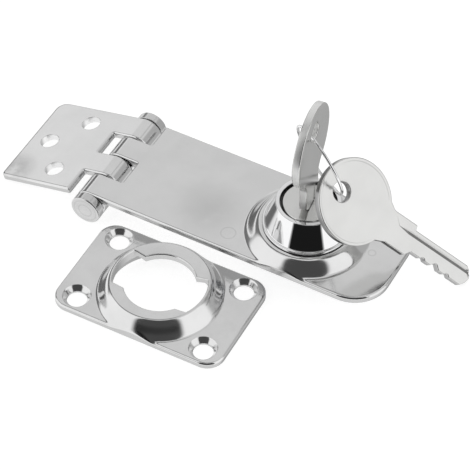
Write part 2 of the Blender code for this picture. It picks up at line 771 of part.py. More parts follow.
def make_toothed_washer(finish, parent):
    """The toothed lock washer between the nut and the strap."""
    top = DOME_TOP - SHEET - GAP
    pitch = math.tau / WASHER_TEETH
    valley = TOOTHED_WASHER_RADIUS - WASHER_TOOTH_DEPTH
    outline = []
    for tooth in range(WASHER_TEETH):
        outline += arc((0, 0), TOOTHED_WASHER_RADIUS, tooth * pitch, (tooth + 0.5) * pitch, 2)
        outline += arc((0, 0), valley, (tooth + 0.6) * pitch, (tooth + 0.9) * pitch, 1)
    washer = as_object(
        "toothed_washer", prism(outline, top - TOOTHED_WASHER_THICKNESS, top), finish, parent
    )
    hole = rod(BODY_RADIUS + NUT_CLEARANCE, 0, DOME_TOP, steps=48)
    boolean(washer, as_object("washer_hole", hole, parent=parent))
    return washer


def key_outline():
    """A key's outline from the bow round the plain back, the tip, the cuts and the collar."""
    join = math.asin(COLLAR_BACK / BOW_RADIUS) + BOW_BACK_EASE
    leave = math.asin(COLLAR_FRONT / BOW_RADIUS) + BOW_FRONT_EASE
    bow = arc((0, 0), BOW_RADIUS, join, math.tau - leave, 44)
    shoulder = [
        (BOW_RADIUS + COLLAR_FRONT_START, -COLLAR_FRONT),
        (SHOULDER_X - SHOULDER_BEFORE, -COLLAR_FRONT),
        (SHOULDER_X + SHOULDER_AFTER, -BLADE_FRONT),
    ]
    cuts = []
    for i, depth in enumerate(CUT_DEPTHS):
        if depth == 0:
            continue
        middle = FIRST_CUT_X + WAFER_PITCH * i
        cuts += [
            (middle - depth - CUT_HALF_FLOOR, -BLADE_FRONT),
            (middle - CUT_HALF_FLOOR, -BLADE_FRONT + depth),
            (middle + CUT_HALF_FLOOR, -BLADE_FRONT + depth),
            (middle + depth + CUT_HALF_FLOOR, -BLADE_FRONT),
        ]
    tip = [
        (KEY_TIP_X - KEY_TIP_LENGTH, -BLADE_FRONT),
        (KEY_TIP_X - KEY_TIP_SLOPE, -KEY_TIP_FRONT),
        (KEY_TIP_X, 0),
        (KEY_TIP_X - KEY_TIP_SLOPE, KEY_TIP_FRONT),
        (KEY_TIP_X - KEY_TIP_LENGTH, BLADE_BACK),
    ]
    back = [
        (SHOULDER_X, BLADE_BACK),
        (SHOULDER_X - SHOULDER_LEAN, COLLAR_BACK),
        (BOW_RADIUS + COLLAR_BACK_START, COLLAR_BACK),
    ]
    return bow + shoulder + cuts + tip + back


def groove_cutter():
    """A V groove along one face of the blade, with a sloping start."""
    made = bmesh.new()
    face = KEY_THICKNESS / 2
    proud = face + GROOVE_PROUD
    floor = face - GROOVE_DEPTH
    wide = GROOVE_HALF_WIDTH * (proud - floor) / GROOVE_DEPTH
    ends = []
    sections = (
        (GROOVE_START_X, GROOVE_START_HALF_WIDTH, face + GROOVE_START_HEIGHT),
        (GROOVE_START_X + GROOVE_RAMP, wide, floor),
        (KEY_TIP_X + MM, wide, floor),
    )
    for x, spread, deep in sections:
        ends.append(
            [
                made.verts.new((x, GROOVE_Y - spread, proud)),
                made.verts.new((x, GROOVE_Y, deep)),
                made.verts.new((x, GROOVE_Y + spread, proud)),
            ]
        )
    for first, second in zip(ends, ends[1:]):
        for k in range(3):
            made.faces.new((first[k], first[(k + 1) % 3], second[(k + 1) % 3], second[k]))
    made.faces.new(ends[0][::-1])
    made.faces.new(ends[-1])
    return made


def make_key(name, finish, parent, matrix):
    """A flat key with a round bow, a collar, a grooved blade and its cuts."""
    half = KEY_THICKNESS / 2
    key = as_object(name, prism(key_outline(), -half, half), finish, parent)
    edge = key.modifiers.new("worn edge", "BEVEL")
    edge.width = KEY_EDGE
    edge.segments = 1
    edge.limit_method = "ANGLE"
    edge.angle_limit = math.radians(80)
    hole = rod(KEY_HOLE_RADIUS, -KEY_THICKNESS, KEY_THICKNESS, steps=28, middle=(KEY_HOLE_X, 0))
    for suffix, shape in (("hole", hole), ("groove", groove_cutter())):
        tool = as_object(f"{name}_{suffix}", shape, parent=parent)
        tool.matrix_local = matrix
        boolean(key, tool)
    key.matrix_local = matrix
    return key


def lock_key_matrix():
    """The pose of the key in the lock, in the plug's frame: blade down, plain back along +Y."""
    along = Vector((0, 0, -1))
    back = Vector((0, 1, 0))
    normal = along.cross(back)
    turn = Matrix((along, back, normal)).transposed().to_4x4()
    return Matrix.Translation((0, -BLADE_MIDDLE, KEY_BOW_HEIGHT)) @ turn


def ring_matrix(hung):
    """The pose of the ring whose wire passes through the point hung, in the key in the lock."""
    turn = Matrix.Rotation(RING_HEADING, 4, "Z") @ Matrix.Rotation(RING_LEAN, 4, "Y")
    to_middle = Matrix.Rotation(RING_HUNG_AT, 4, "Z") @ Vector((-RING_RADIUS, 0, 0))
    return Matrix.Translation(hung) @ turn @ Matrix.Translation(to_middle)


def spare_key_matrix(carried):
    """The pose of the spare key: the wire at the point carried in its hole, its tip at z = 0."""
    wire_x, wire_y = WIRE_IN_SPARE_KEY
    along = KEY_TIP_X - KEY_TIP_SLOPE - KEY_HOLE_X - wire_x
    beside = (-KEY_TIP_FRONT - wire_y) * math.sin(SPARE_ROLL) - KEY_THICKNESS / 2 * math.cos(SPARE_ROLL)
    dip = math.asin(carried.z / math.hypot(along, beside)) + math.atan2(beside, along)
    turn = (
        Matrix.Rotation(SPARE_HEADING, 4, "Z")
        @ Matrix.Rotation(dip, 4, "Y")
        @ Matrix.Rotation(SPARE_ROLL, 4, "X")
    )
    to_bow = Matrix.Translation((-KEY_HOLE_X - wire_x, -wire_y, 0))
    return Matrix.Translation(carried) @ turn @ to_bow


def make_ring(finish, parent, matrix):
    """The wire ring that holds both keys."""
    section = arc((RING_RADIUS, 0), RING_WIRE, 0, math.radians(300), 5)
    ring = as_object("key_ring", turned(section, steps=56), finish, parent)
    ring.matrix_local = matrix
    return ring


def rest_on_origin(root):
    """Moves the whole latch so that the origin is under the middle of its box."""
    bpy.context.view_layer.update()
    graph = bpy.context.evaluated_depsgraph_get()
    points = []
    for thing in bpy.context.scene.objects:
        if thing.type == "EMPTY" or thing.hide_render:
            continue
        shape = thing.evaluated_get(graph)
        points += [shape.matrix_world @ vertex.co for vertex in shape.to_mesh().vertices]
        shape.to_mesh_clear()
    for axis in (0, 1):
        values = [point[axis] for point in points]
        root.location[axis] -= (min(values) + max(values)) / 2


def leaf_tilt():
    """How far the leaf hangs below level when its far lower edge touches z = 0."""
    rise = BARREL_RADIUS - SHEET
    reach = math.hypot(LEAF_LENGTH, rise)
    return math.atan2(rise, LEAF_LENGTH) + math.asin(PIN_HEIGHT / reach)


def build():
    clear_scene()
    stainless = metal("polished stainless", (0.72, 0.72, 0.72), 0.16)
    chrome = metal("chrome", (0.82, 0.82, 0.83), 0.05)
    nickel = metal("satin nickel", (0.76, 0.75, 0.73), 0.24)
    zinc = metal("zinc plating", (0.62, 0.63, 0.65), 0.32)
    brass = metal("brass", (0.72, 0.56, 0.29), 0.3)
    spring_steel = metal("spring steel", (0.45, 0.45, 0.47), 0.3)

    root = empty("latch")
    hinge = empty("hinge_axis", root, Matrix.Translation((0, 0, PIN_HEIGHT)))
    make_strap(stainless, hinge)
    make_pin(stainless, hinge)
    leaf_frame = empty("leaf_frame", hinge, Matrix.Rotation(-leaf_tilt(), 4, "Y"))
    make_leaf(stainless, leaf_frame)
    strike_matrix = Matrix.Translation((*STRIKE_PLACE, 0)) @ Matrix.Rotation(STRIKE_TURN, 4, "Z")
    make_strike(stainless, empty("strike_frame", root, strike_matrix))

    lock = empty("lock_axis", root, Matrix.Translation((LOCK_X, 0, 0)))
    make_housing(chrome, lock)
    make_nut(zinc, lock)
    make_toothed_washer(spring_steel, lock)
    plug_frame = empty("plug_frame", lock, Matrix.Rotation(LOCK_TURN, 4, "Z"))
    make_plug(nickel, plug_frame)
    for number, height in enumerate(wafer_heights(), 1):
        make_wafer(number, height, brass, plug_frame)
        make_spring(number, height, spring_steel, plug_frame)
    make_stop_washer(zinc, plug_frame)
    make_cam(zinc, plug_frame)
    make_clip(spring_steel, plug_frame)

    in_lock = lock_key_matrix()
    make_key("key_in_lock", nickel, plug_frame, in_lock)
    bpy.context.view_layer.update()
    wire_x, wire_y = WIRE_IN_LOCK_KEY
    hung = plug_frame.matrix_world @ in_lock @ Vector((KEY_HOLE_X + wire_x, wire_y, 0))
    ring = ring_matrix(hung)
    make_ring(chrome, root, ring)
    carried = ring @ Matrix.Rotation(RING_CARRIES_AT, 4, "Z") @ Vector((RING_RADIUS, 0, 0))
    make_key("spare_key", nickel, root, spare_key_matrix(carried))
    rest_on_origin(root)


build()
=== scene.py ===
# %% [markdown]
# A keyed hasp latch, dressed for its portrait
#
# The latch is a strap of polished sheet with a cylinder lock in it, hinged to a screwed leaf. A strike plate
# and two flat keys on a wire ring come with it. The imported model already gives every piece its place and
# its joints. This notebook builds finer pieces over it, gives each its metal, and sets up the small white
# studio in which polished metal looks like polished metal.

import json
import math

import bmesh
import bpy
import numpy as np
from mathutils import Matrix, Vector
from mathutils.geometry import delaunay_2d_cdt

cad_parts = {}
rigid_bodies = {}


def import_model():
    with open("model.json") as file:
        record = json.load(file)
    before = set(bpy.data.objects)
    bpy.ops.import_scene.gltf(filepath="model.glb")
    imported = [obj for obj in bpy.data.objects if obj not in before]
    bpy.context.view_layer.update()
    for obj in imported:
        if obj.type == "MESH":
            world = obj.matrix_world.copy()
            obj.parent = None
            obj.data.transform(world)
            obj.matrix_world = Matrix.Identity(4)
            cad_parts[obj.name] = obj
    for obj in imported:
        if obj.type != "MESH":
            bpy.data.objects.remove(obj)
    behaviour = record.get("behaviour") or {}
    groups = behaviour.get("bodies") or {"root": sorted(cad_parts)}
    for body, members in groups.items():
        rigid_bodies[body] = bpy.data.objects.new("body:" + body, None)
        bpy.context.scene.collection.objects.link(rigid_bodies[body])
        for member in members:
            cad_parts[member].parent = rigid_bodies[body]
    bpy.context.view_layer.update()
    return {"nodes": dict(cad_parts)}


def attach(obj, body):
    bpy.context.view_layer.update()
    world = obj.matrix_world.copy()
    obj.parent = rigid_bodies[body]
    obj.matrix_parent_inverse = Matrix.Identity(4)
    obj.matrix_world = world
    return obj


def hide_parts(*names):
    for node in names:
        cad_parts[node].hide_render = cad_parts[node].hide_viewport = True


for thing in list(bpy.data.objects):
    bpy.data.objects.remove(thing, do_unlink=True)
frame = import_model()

# %% [markdown]
# Where things are
#
# A few places are enough to build everything: the hinge pin, the lock's axis, the middle of the strike
# plate, and the bows of the two keys. Lengths in the drawings below are in millimetres, because that is how
# a maker would give them, and MM turns them into Blender's metres.

# %% The places of the pieces
MM = 0.001
HINGE = Vector((-0.036068, 0.014988, 0.0044))
LOCK = Vector((0.022232, 0.014988, 0.0))
STRIKE = Vector((-0.004668, -0.017362, 0.0))
STRIKE_TURN = math.radians(0.65)
LEAF_TILT = math.radians(13.615438)
LOCK_TURN = math.radians(7.4)


def key_frame(origin, along, back):
    """The place of a key or ring, from its middle, its X direction and its Y direction."""
    x_axis = Vector(along).normalized()
    z_axis = x_axis.cross(Vector(back)).normalized()
    y_axis = z_axis.cross(x_axis)
    return Matrix.Translation(origin) @ Matrix((x_axis, y_axis, z_axis)).transposed().to_4x4()


HINGE_FRAME = Matrix.Translation(HINGE)
LEAF_FRAME = HINGE_FRAME @ Matrix.Rotation(-LEAF_TILT, 4, "Y")
LOCK_FRAME = Matrix.Translation(LOCK)
STRIKE_FRAME = Matrix.Translation(STRIKE) @ Matrix.Rotation(STRIKE_TURN, 4, "Z")
LOCK_KEY_FRAME = key_frame((0.022213, 0.015137, 0.042), (0, 0, -1), (-0.128796, 0.991671, 0))
SPARE_KEY_FRAME = key_frame(
    (0.035623, 0.014175, 0.028397), (0.689064, 0.299614, -0.659865), (-0.051594, 0.928506, 0.367714)
)
RING_FRAME = key_frame(
    (0.024175, 0.016803, 0.035711), (0.13905, 0.224264, -0.964557), (-0.849893, 0.526956, 0)
)
LOCK_X = (LOCK - HINGE).x / MM
print("the lock is", round(LOCK_X, 1), "mm from the hinge pin")

# %% [markdown]
# The camera
#
# The photograph was taken from a little over half a metre, high over the right front corner, with a long
# lens that keeps parallel edges nearly parallel. The same place, direction and lens put every edge where
# the photograph has it.

# %% Place the camera
LOOK = Vector((-0.31745, 0.58307, -0.74783)).normalized()
CAMERA_PLACE = (0.202972, -0.357442, 0.47315)
LENS = 178.49
camera_data = bpy.data.cameras.new("camera")
camera_data.lens = LENS
camera_data.clip_start = 0.01
camera = bpy.data.objects.new("camera", camera_data)
bpy.context.scene.collection.objects.link(camera)
camera.location = CAMERA_PLACE
camera.rotation_euler = LOOK.to_track_quat("-Z", "Y").to_euler()
bpy.context.scene.camera = camera
print("the camera is", round((camera.location - LOCK).length, 2), "m from the lock")

# %% [markdown]
# Shader sums as Python
#
# A procedural metal is mostly arithmetic: a noise is scaled and added to a roughness. Blender does such sums
# with Math nodes, which are slow to read in a script. The class below wraps a socket, so that a sum of
# sockets can be written as a sum. Every other node comes from one function, add_node, which takes the kind of
# node, its settings and what its sockets hold.

# %% A socket that can be added and multiplied
class Amount:
    """A number that changes over a surface: one output socket of a node."""

    def __init__(self, tree, socket):
        self.tree = tree
        self.socket = socket

    def sum_node(self, operation, first, second):
        return add_node(self.tree, "ShaderNodeMath", {"operation": operation}, {0: first, 1: second})

    def __add__(self, other):
        return self.sum_node("ADD", self, other)

    def __sub__(self, other):
        return self.sum_node("SUBTRACT", self, other)

    def __rsub__(self, other):
        return self.sum_node("SUBTRACT", other, self)

    def __mul__(self, other):
        return self.sum_node("MULTIPLY", self, other)

    def __abs__(self):
        return self.sum_node("ABSOLUTE", self, 0.0)

    __radd__ = __add__
    __rmul__ = __mul__


def set_stops(ramp, stops):
    """Gives a colour ramp its (position, grey) stops."""
    while len(ramp.elements) < len(stops):
        ramp.elements.new(1.0)
    for element, (position, grey) in zip(ramp.elements, stops):
        element.position = position
        element.color = (grey, grey, grey, 1.0)


def add_node(tree, kind, settings=None, inputs=None, output=0):
    """Adds a node, sets its settings, sets or links its sockets, and gives back one output."""
    made = tree.nodes.new(kind)
    for name, setting in (settings or {}).items():
        if name == "stops":
            set_stops(made.color_ramp, setting)
        else:
            setattr(made, name, setting)
    for key, given in (inputs or {}).items():
        if isinstance(given, Amount):
            tree.links.new(given.socket, made.inputs[key])
        else:
            made.inputs[key].default_value = given
    return Amount(tree, made.outputs[output] if made.outputs else None)


def smooth_step(amount, start, end, first=0.0, last=1.0):
    """Goes softly from first, where the amount is at start, to last, where it is at end."""
    inputs = {0: amount, 1: start, 2: end, 3: first, 4: last}
    return add_node(amount.tree, "ShaderNodeMapRange", {"interpolation_type": "SMOOTHSTEP"}, inputs)


def blend_colour(share, low, high):
    """A colour between low and high."""
    inputs = {0: share, 6: (*low, 1.0), 7: (*high, 1.0)}
    return add_node(share.tree, "ShaderNodeMix", {"data_type": "RGBA"}, inputs, 2)


def vector_maths(tree, operation, first, second, output=0):
    """One step of vector arithmetic, such as a distance or a dot product."""
    settings = {"operation": operation}
    return add_node(tree, "ShaderNodeVectorMath", settings, {0: first, 1: second}, output)


print("sums of sockets can use +, -, * and abs")

# %% [markdown]
# Marks and dark spots
#
# The strap has two faint rings and a dark spot, which is a painted reflection, the leaf has a dark spot in its
#  corner, and the pin's heads have turned rings. Painting them would need an image. Here each is a distance
#  from a point, turned into a soft ring or spot. BARREL is the radius of the rolled hinge, and so the height
#  of the plates' faces over the pin's axis, where the dark spots lie.

# %% Rings and dark spots as distances
BARREL = 4.4
MARK_WIDTH = 0.35
MARK_DEPTH = 0.02
MARK_SHADE = 0.35


def distance_from(place, middle):
    """How far each place is from a point."""
    return vector_maths(place.tree, "DISTANCE", place, middle, "Value")


def ring_mark(place, x, y, radius):
    """1 on a ring about (x, y), whatever the height, and 0 away from it."""
    flat = vector_maths(place.tree, "MULTIPLY", place, (1.0, 1.0, 0.0))
    away = abs(distance_from(flat, (x * MM, y * MM, 0.0)) - radius * MM)
    return smooth_step(away, 0.0, MARK_WIDTH * MM, 1.0, 0.0)


def spot_darkening(place, clouds, x, y, radius):
    """A spot on a plate's face that fades outwards and thins where the clouds do."""
    spot = distance_from(place, (x * MM, y * MM, BARREL * MM))
    return smooth_step(spot, radius * MM, 0.0) * smooth_step(clouds, 0.2, 0.55)


print("a ring mark fades over", MARK_WIDTH, "mm to each side")

# %% [markdown]
# Metals
#
# Polished sheet is never quite even. It has clouds where the polishing wheel lingered, hairlines along the
# wheel's path, and faint waves that bend reflections. An image could hold these marks, but noise does it at
# any distance and without a seam. One recipe makes all the metals here from a colour, a roughness and the
# strength of the clouds and waves. A piece that is drawn here keeps its points' places in the drawing, before
# it is turned into place, and the noise follows those.

# %% One recipe for all the metals
CLOUD_SCALE = 110.0
WAVE_SCALE = CLOUD_SCALE / 2
HAIR_SCALE = (250.0, 7000.0, 7000.0)
HAIR_DEPTH = 0.01
DARKEST = 0.7


def noise(tree, place, scale, detail, roughness=0.5):
    """Soft random clouds; scale is how many there are to a metre."""
    inputs = {"Vector": place, "Scale": scale, "Detail": detail, "Roughness": roughness}
    return add_node(tree, "ShaderNodeTexNoise", {}, inputs)


def metal(
    name, colour, roughness, cloud=0.03, rough_spread=0.03, wave=0.08, marks=(), dark_spot=None, drawn=True
):
    """A metal with a clouded polish, hairlines along X, faint waves, and what the marks and a dark spot add.
    """
    made = bpy.data.materials.new(name)
    made.use_nodes = True
    tree = made.node_tree
    tree.nodes.clear()
    if drawn:
        place = add_node(tree, "ShaderNodeAttribute", {"attribute_name": "drawing"}, output="Vector")
    else:
        place = add_node(tree, "ShaderNodeTexCoord", output="Object")
    along = add_node(tree, "ShaderNodeMapping", {}, {"Vector": place, "Scale": HAIR_SCALE})
    clouds = noise(tree, place, CLOUD_SCALE, 5.0, 0.6)
    hairs = noise(tree, along, 1.0, 2.0)
    height = noise(tree, place, WAVE_SCALE, 1.0) + hairs * HAIR_DEPTH
    shade = smooth_step(clouds, 0.3, 0.7, 1.0 - 6.0 * cloud, 1.0)
    for mark in marks:
        dent = ring_mark(place, *mark)
        height = height - dent * MARK_DEPTH
        shade = shade - dent * MARK_SHADE
    # A dark spot darkens the colour; on the strap it is a painted reflection.
    if dark_spot:
        *spot, depth = dark_spot
        shade = shade - spot_darkening(place, clouds, *spot) * depth
    base = blend_colour(shade, tuple(channel * DARKEST for channel in colour), colour)
    rough = roughness - rough_spread + (clouds + hairs) * rough_spread
    bump = add_node(tree, "ShaderNodeBump", {}, {"Strength": wave, "Distance": MM, "Height": height})
    looks = {"Base Color": base, "Metallic": 1.0, "Roughness": rough, "Normal": bump}
    shader = add_node(tree, "ShaderNodeBsdfPrincipled", {}, looks)
    add_node(tree, "ShaderNodeOutputMaterial", {}, {"Surface": shader})
    return made


print("the clouds are about", round(1 / (CLOUD_SCALE * MM), 1), "mm apart")

# %% [markdown]
# The metals of the latch
#
# Stainless sheet is bright and a little soft in its reflections. Chrome is brighter and sharp. The keys are
#  nickel-plated; the edges of the key in the lock are painted lighter, as a painted highlight, and those of
#  the other key darker, as painted shade. The pieces inside the lock are zinc-plated, brass or bare spring
#  wire. A cut edge is duller than a face, and a bore that gets no light is given a dark metal.

# %% Mix the metals
STAINLESS = (0.82, 0.82, 0.82)
STRAP_MARKS = ((40.0, -10.6, 2.0), (76.8, 1.4, 1.0))
# The strap's dark spot is a painted reflection, darkened into its colour.
STRAP_PAINTED_REFLECTION = (31.0, -5.0, 13.0, 0.55)
strap_steel = metal("strap_steel", STAINLESS, 0.13, marks=STRAP_MARKS, dark_spot=STRAP_PAINTED_REFLECTION)
# The leaf's corner is painted darker in a soft spot.
LEAF_DARK_SPOT = (-26.0, -13.0, 8.0, 1.6)
leaf_steel = metal("leaf_steel", STAINLESS, 0.13, dark_spot=LEAF_DARK_SPOT)
plate_steel = metal("plate_steel", STAINLESS, 0.13, cloud=0.04)
PIN_MARKS = ((0.0, 0.0, 3.4), (0.0, 0.0, 2.0))
pin_steel = metal("pin_steel", (0.76, 0.76, 0.76), 0.18, cloud=0.07, wave=0.2, marks=PIN_MARKS)
chrome = metal("chrome", (0.95, 0.95, 0.955), 0.045, cloud=0.01, rough_spread=0.01, wave=0.04)
nickel = metal("nickel", (0.76, 0.76, 0.75), 0.19, cloud=0.03, wave=0.1)
cut_steel = metal("cut_steel", (0.66, 0.66, 0.66), 0.25, wave=0.15)
# The walls of the leaf's holes: a brighter copy of the cut edge, a painted reflection of the white table.
hole_wall_painted_light = metal("hole_wall_painted_light", (0.95, 0.95, 0.95), 0.3, wave=0.15)
# Two copies of one key-edge metal: a painted highlight, and a painted shade.
lit_key_edge = metal("lit_key_edge", (0.95, 0.95, 0.94), 0.45, wave=0.15)
shaded_key_edge = metal("shaded_key_edge", (0.45, 0.45, 0.45), 0.3, wave=0.15)
# The dark side of the keys' groove: painted shade.
groove_painted_shade = metal("groove_painted_shade", (0.24, 0.24, 0.24), 0.3, wave=0.15)
shaded_bore = metal("shaded_bore", (0.12, 0.12, 0.12), 0.4)
plug_nickel = metal("plug_nickel", (0.78, 0.78, 0.77), 0.2, cloud=0.03, drawn=False)
zinc = metal("zinc", (0.70, 0.71, 0.73), 0.30, cloud=0.06, wave=0.12, drawn=False)
brass = metal("brass", (0.72, 0.56, 0.29), 0.28, cloud=0.05, wave=0.1, drawn=False)
spring_wire = metal("spring_wire", (0.50, 0.50, 0.52), 0.28, cloud=0.05, wave=0.08, drawn=False)
print("metals:", ", ".join(made.name for made in bpy.data.materials if made.users == 0))

# %% [markdown]
# Drawing lines
#
# Every piece starts as a flat drawing: arcs, rounded corners, and the same line moved inwards by a little.
# A line moved inwards in small steps, and lowered as it nears the edge, becomes the small rounding along
# a sheet's edge that catches the light.

# %% Arcs, rounded corners and lines moved inwards
def arc(centre, radius, start, end, steps):
    """Points along an arc, both ends included; the angles are in radians."""
    turn = (end - start) / steps
    return [
        (centre[0] + radius * math.cos(start + turn * i), centre[1] + radius * math.sin(start + turn * i))
        for i in range(steps + 1)
    ]


def circle(centre, radius, steps=64):
    """Points round a circle, anticlockwise, with the first point not repeated."""
    return arc(centre, radius, 0, math.tau * (1 - 1 / steps), steps - 1)


def rounded(corners, steps=8):
    """A closed line through ((x, y), radius) corners, each replaced by an arc of its radius."""
    line = []
    for i, (corner, radius) in enumerate(corners):
        here = Vector(corner)
        if radius == 0:
            line.append(tuple(here))
            continue
        before = (Vector(corners[i - 1][0]) - here).normalized()
        after = (Vector(corners[(i + 1) % len(corners)][0]) - here).normalized()
        half = before.angle(after) / 2
        middle = here + (before + after).normalized() * radius / math.sin(half)
        first = here + before * radius / math.tan(half) - middle
        last = here + after * radius / math.tan(half) - middle
        sweep = first.angle_signed(last)
        line += [tuple(middle + Matrix.Rotation(-sweep * k / steps, 2) @ first) for k in range(steps + 1)]
    return line


def fine(line, longest):
    """The same closed line with no step longer than a given length."""
    made = []
    for (ax, ay), (bx, by) in zip(line, line[1:] + line[:1]):
        count = max(1, math.ceil(math.hypot(bx - ax, by - ay) / longest))
        made += [(ax + (bx - ax) * i / count, ay + (by - ay) * i / count) for i in range(count)]
    return made


def inwards(line, distance):
    """The closed line moved to its left, which is into the metal for outlines and for holes here."""
    moved = []
    for i, point in enumerate(line):
        here = Vector(point)
        before = (here - Vector(line[i - 1])).normalized()
        after = (Vector(line[(i + 1) % len(line)]) - here).normalized()
        left = Vector((-before.y, before.x))
        lean = (left + Vector((-after.y, after.x))).normalized()
        moved.append(tuple(here + lean * distance / max(lean.dot(left), 0.5)))
    return moved


def gaps(points, line):
    """The shortest distance of each point from a closed line."""
    start = np.array(line)
    along = np.roll(start, -1, axis=0) - start
    offset = points[:, None, :] - start
    share = np.clip((offset * along).sum(2) / (along * along).sum(1), 0, 1)
    rest = offset - share[..., None] * along
    return np.sqrt((rest * rest).sum(2)).min(1)


def inside(points, line):
    """Which points lie inside a closed line."""
    start = np.array(line)
    end = np.roll(start, -1, axis=0)
    x, y = points[:, :1], points[:, 1:]
    spans = (start[:, 1] > y) != (end[:, 1] > y)
    rise = np.where(start[:, 1] == end[:, 1], 1.0, end[:, 1] - start[:, 1])
    crossing = start[:, 0] + (y - start[:, 1]) * (end[:, 0] - start[:, 0]) / rise
    return (spans & (x < crossing)).sum(1) % 2 == 1


print("a circle is drawn with", len(circle((0, 0), 1.0)), "points unless told otherwise")

# %% [markdown]
# From a mesh to a piece of the latch
#
# Each finished piece is one object with its metal, put in its place in the latch. It stands for the plain
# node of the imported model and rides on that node's body, so it follows the joints. Its edges stay sharp only
# where they turn by more than a set angle.

# %% Finish a piece
SHARP_ANGLE = math.radians(38)


def piece(name, made, matrix, finishes, body, node):
    """Turns a bmesh into the piece that stands for a node.

    Each vertex keeps its place in the drawing, for the metals. The weighted normals keep a large flat face
    flat right up to its rounded edge, where plain smooth shading would bend its reflections.
    """
    bmesh.ops.recalc_face_normals(made, faces=made.faces[:])
    mesh = bpy.data.meshes.new(name)
    made.to_mesh(mesh)
    made.free()
    for metal_used in finishes:
        mesh.materials.append(metal_used)
    mesh.shade_smooth()
    mesh.set_sharp_from_angle(angle=SHARP_ANGLE)
    drawing = mesh.attributes.new("drawing", "FLOAT_VECTOR", "POINT")
    drawing.data.foreach_set("vector", [value for vertex in mesh.vertices for value in vertex.co])
    mesh.transform(matrix)
    thing = bpy.data.objects.new(name, mesh)
    bpy.context.scene.collection.objects.link(thing)
    flats = thing.modifiers.new("flats stay flat", "WEIGHTED_NORMAL")
    flats.keep_sharp = True
    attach(thing, body)
    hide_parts(node)
    print(name, "has", len(mesh.polygons), "faces")


def refinish(made, number, chosen):
    """Gives the faces whose middle is chosen another of the piece's finishes."""
    for face in made.faces:
        if chosen(*(face.calc_center_median() / MM)):
            face.material_index = number
    return made


print("edges stay sharp from", round(math.degrees(SHARP_ANGLE)), "degrees")

# %% [markdown]
# Pressed and rolled sheet
#
# The strap, the leaf and the strike plate are cut flat, pressed, and then rolled round the pin. The sheet
# maker in the next cells works in the same order. It fills the flat drawing with triangles that follow every
# line in it, lifts each point by what the press and the edge do there, and gives the sheet its second face.
# Subdividing a boolean model would be the other way, but its triangles would not follow the dome.

# %% Edges and the lines that keep clear of them
QUARTER_TURN = [math.radians(angle) for angle in (0, 18, 36, 54, 72, 90)]
RIM_STEP = 0.1


def edge_drop(near, radius):
    """How far a rounded edge lies below the face, at a distance from the rim."""
    short = np.clip(radius - near, 0, None)
    return radius - np.sqrt(np.clip(radius * radius - short * short, 0, None))


def clear_runs(guide, closed, rims):
    """The stretches of a guide line that keep clear of every rim, each with whether it is closed."""
    places = np.array(guide)
    clear = inside(places, rims[0][0])
    for rim, radius in rims:
        clear &= gaps(places, rim) > radius + 2 * RIM_STEP
    for rim, _ in rims[1:]:
        clear &= ~inside(places, rim)
    if clear.all():
        return [(guide, closed)]
    runs = [[]]
    for point, free in zip(guide, clear):
        if free:
            runs[-1].append(point)
        elif runs[-1]:
            runs.append([])
    return [(run, False) for run in runs if run]


print("a sheet's edge is rounded in", len(QUARTER_TURN) - 1, "steps")

# %% [markdown]
# Filling the drawing
#
# A Delaunay filling joins the points of all lines to well-shaped triangles and keeps every line as a side. It
# also fills the holes, so the triangles in them are thrown out afterwards. A side of one triangle only lies
# on a rim, and the sheet gets its wall there.

# %% Fill the flat drawing
def fill(rims, guides):
    """The points of a flat drawing and the triangles between its outline and its holes."""
    points = []
    links = []

    def draw(line, closed):
        start = len(points)
        points.extend(line)
        count = len(line)
        links.extend((start + i, start + (i + 1) % count) for i in range(count if closed else count - 1))

    for rim, radius in rims:
        for turn in QUARTER_TURN:
            draw(inwards(rim, radius * (1 - math.cos(turn))) if turn else rim, True)
        draw(inwards(rim, radius + RIM_STEP), True)
    for guide, closed in guides:
        for line, whole in clear_runs(guide, closed, rims):
            draw(line, whole)
    flat, _, triangles, *_ = delaunay_2d_cdt([Vector(point) for point in points], links, [], 1, 1e-5)
    flat = np.array([tuple(point) for point in flat])
    corners = np.array(triangles)
    middles = flat[corners].mean(1)
    solid = inside(middles, rims[0][0])
    for rim, _ in rims[1:]:
        solid &= ~inside(middles, rim)
    return flat, corners[solid].tolist()


def open_sides(triangles):
    """The triangle sides with no neighbour, which are the sheet's rims."""
    sides = set()
    for triangle in triangles:
        for a, b in zip(triangle, triangle[1:] + triangle[:1]):
            if (b, a) in sides:
                sides.remove((b, a))
            else:
                sides.add((a, b))
    return sides


print("a test disc is filled with", len(fill([(circle((0, 0), 5.0), 0.5)], [])[1]), "triangles")

# %% [markdown]
# Two faces and a wall
#
# Real sheet has a small rounding where it was cut and tumbled. A bevel modifier could give it, but not on a
# face that is pressed afterwards. Here each face falls off near a rim by the depth of a quarter circle. The
# wall has its own finish, as a cut edge is duller.

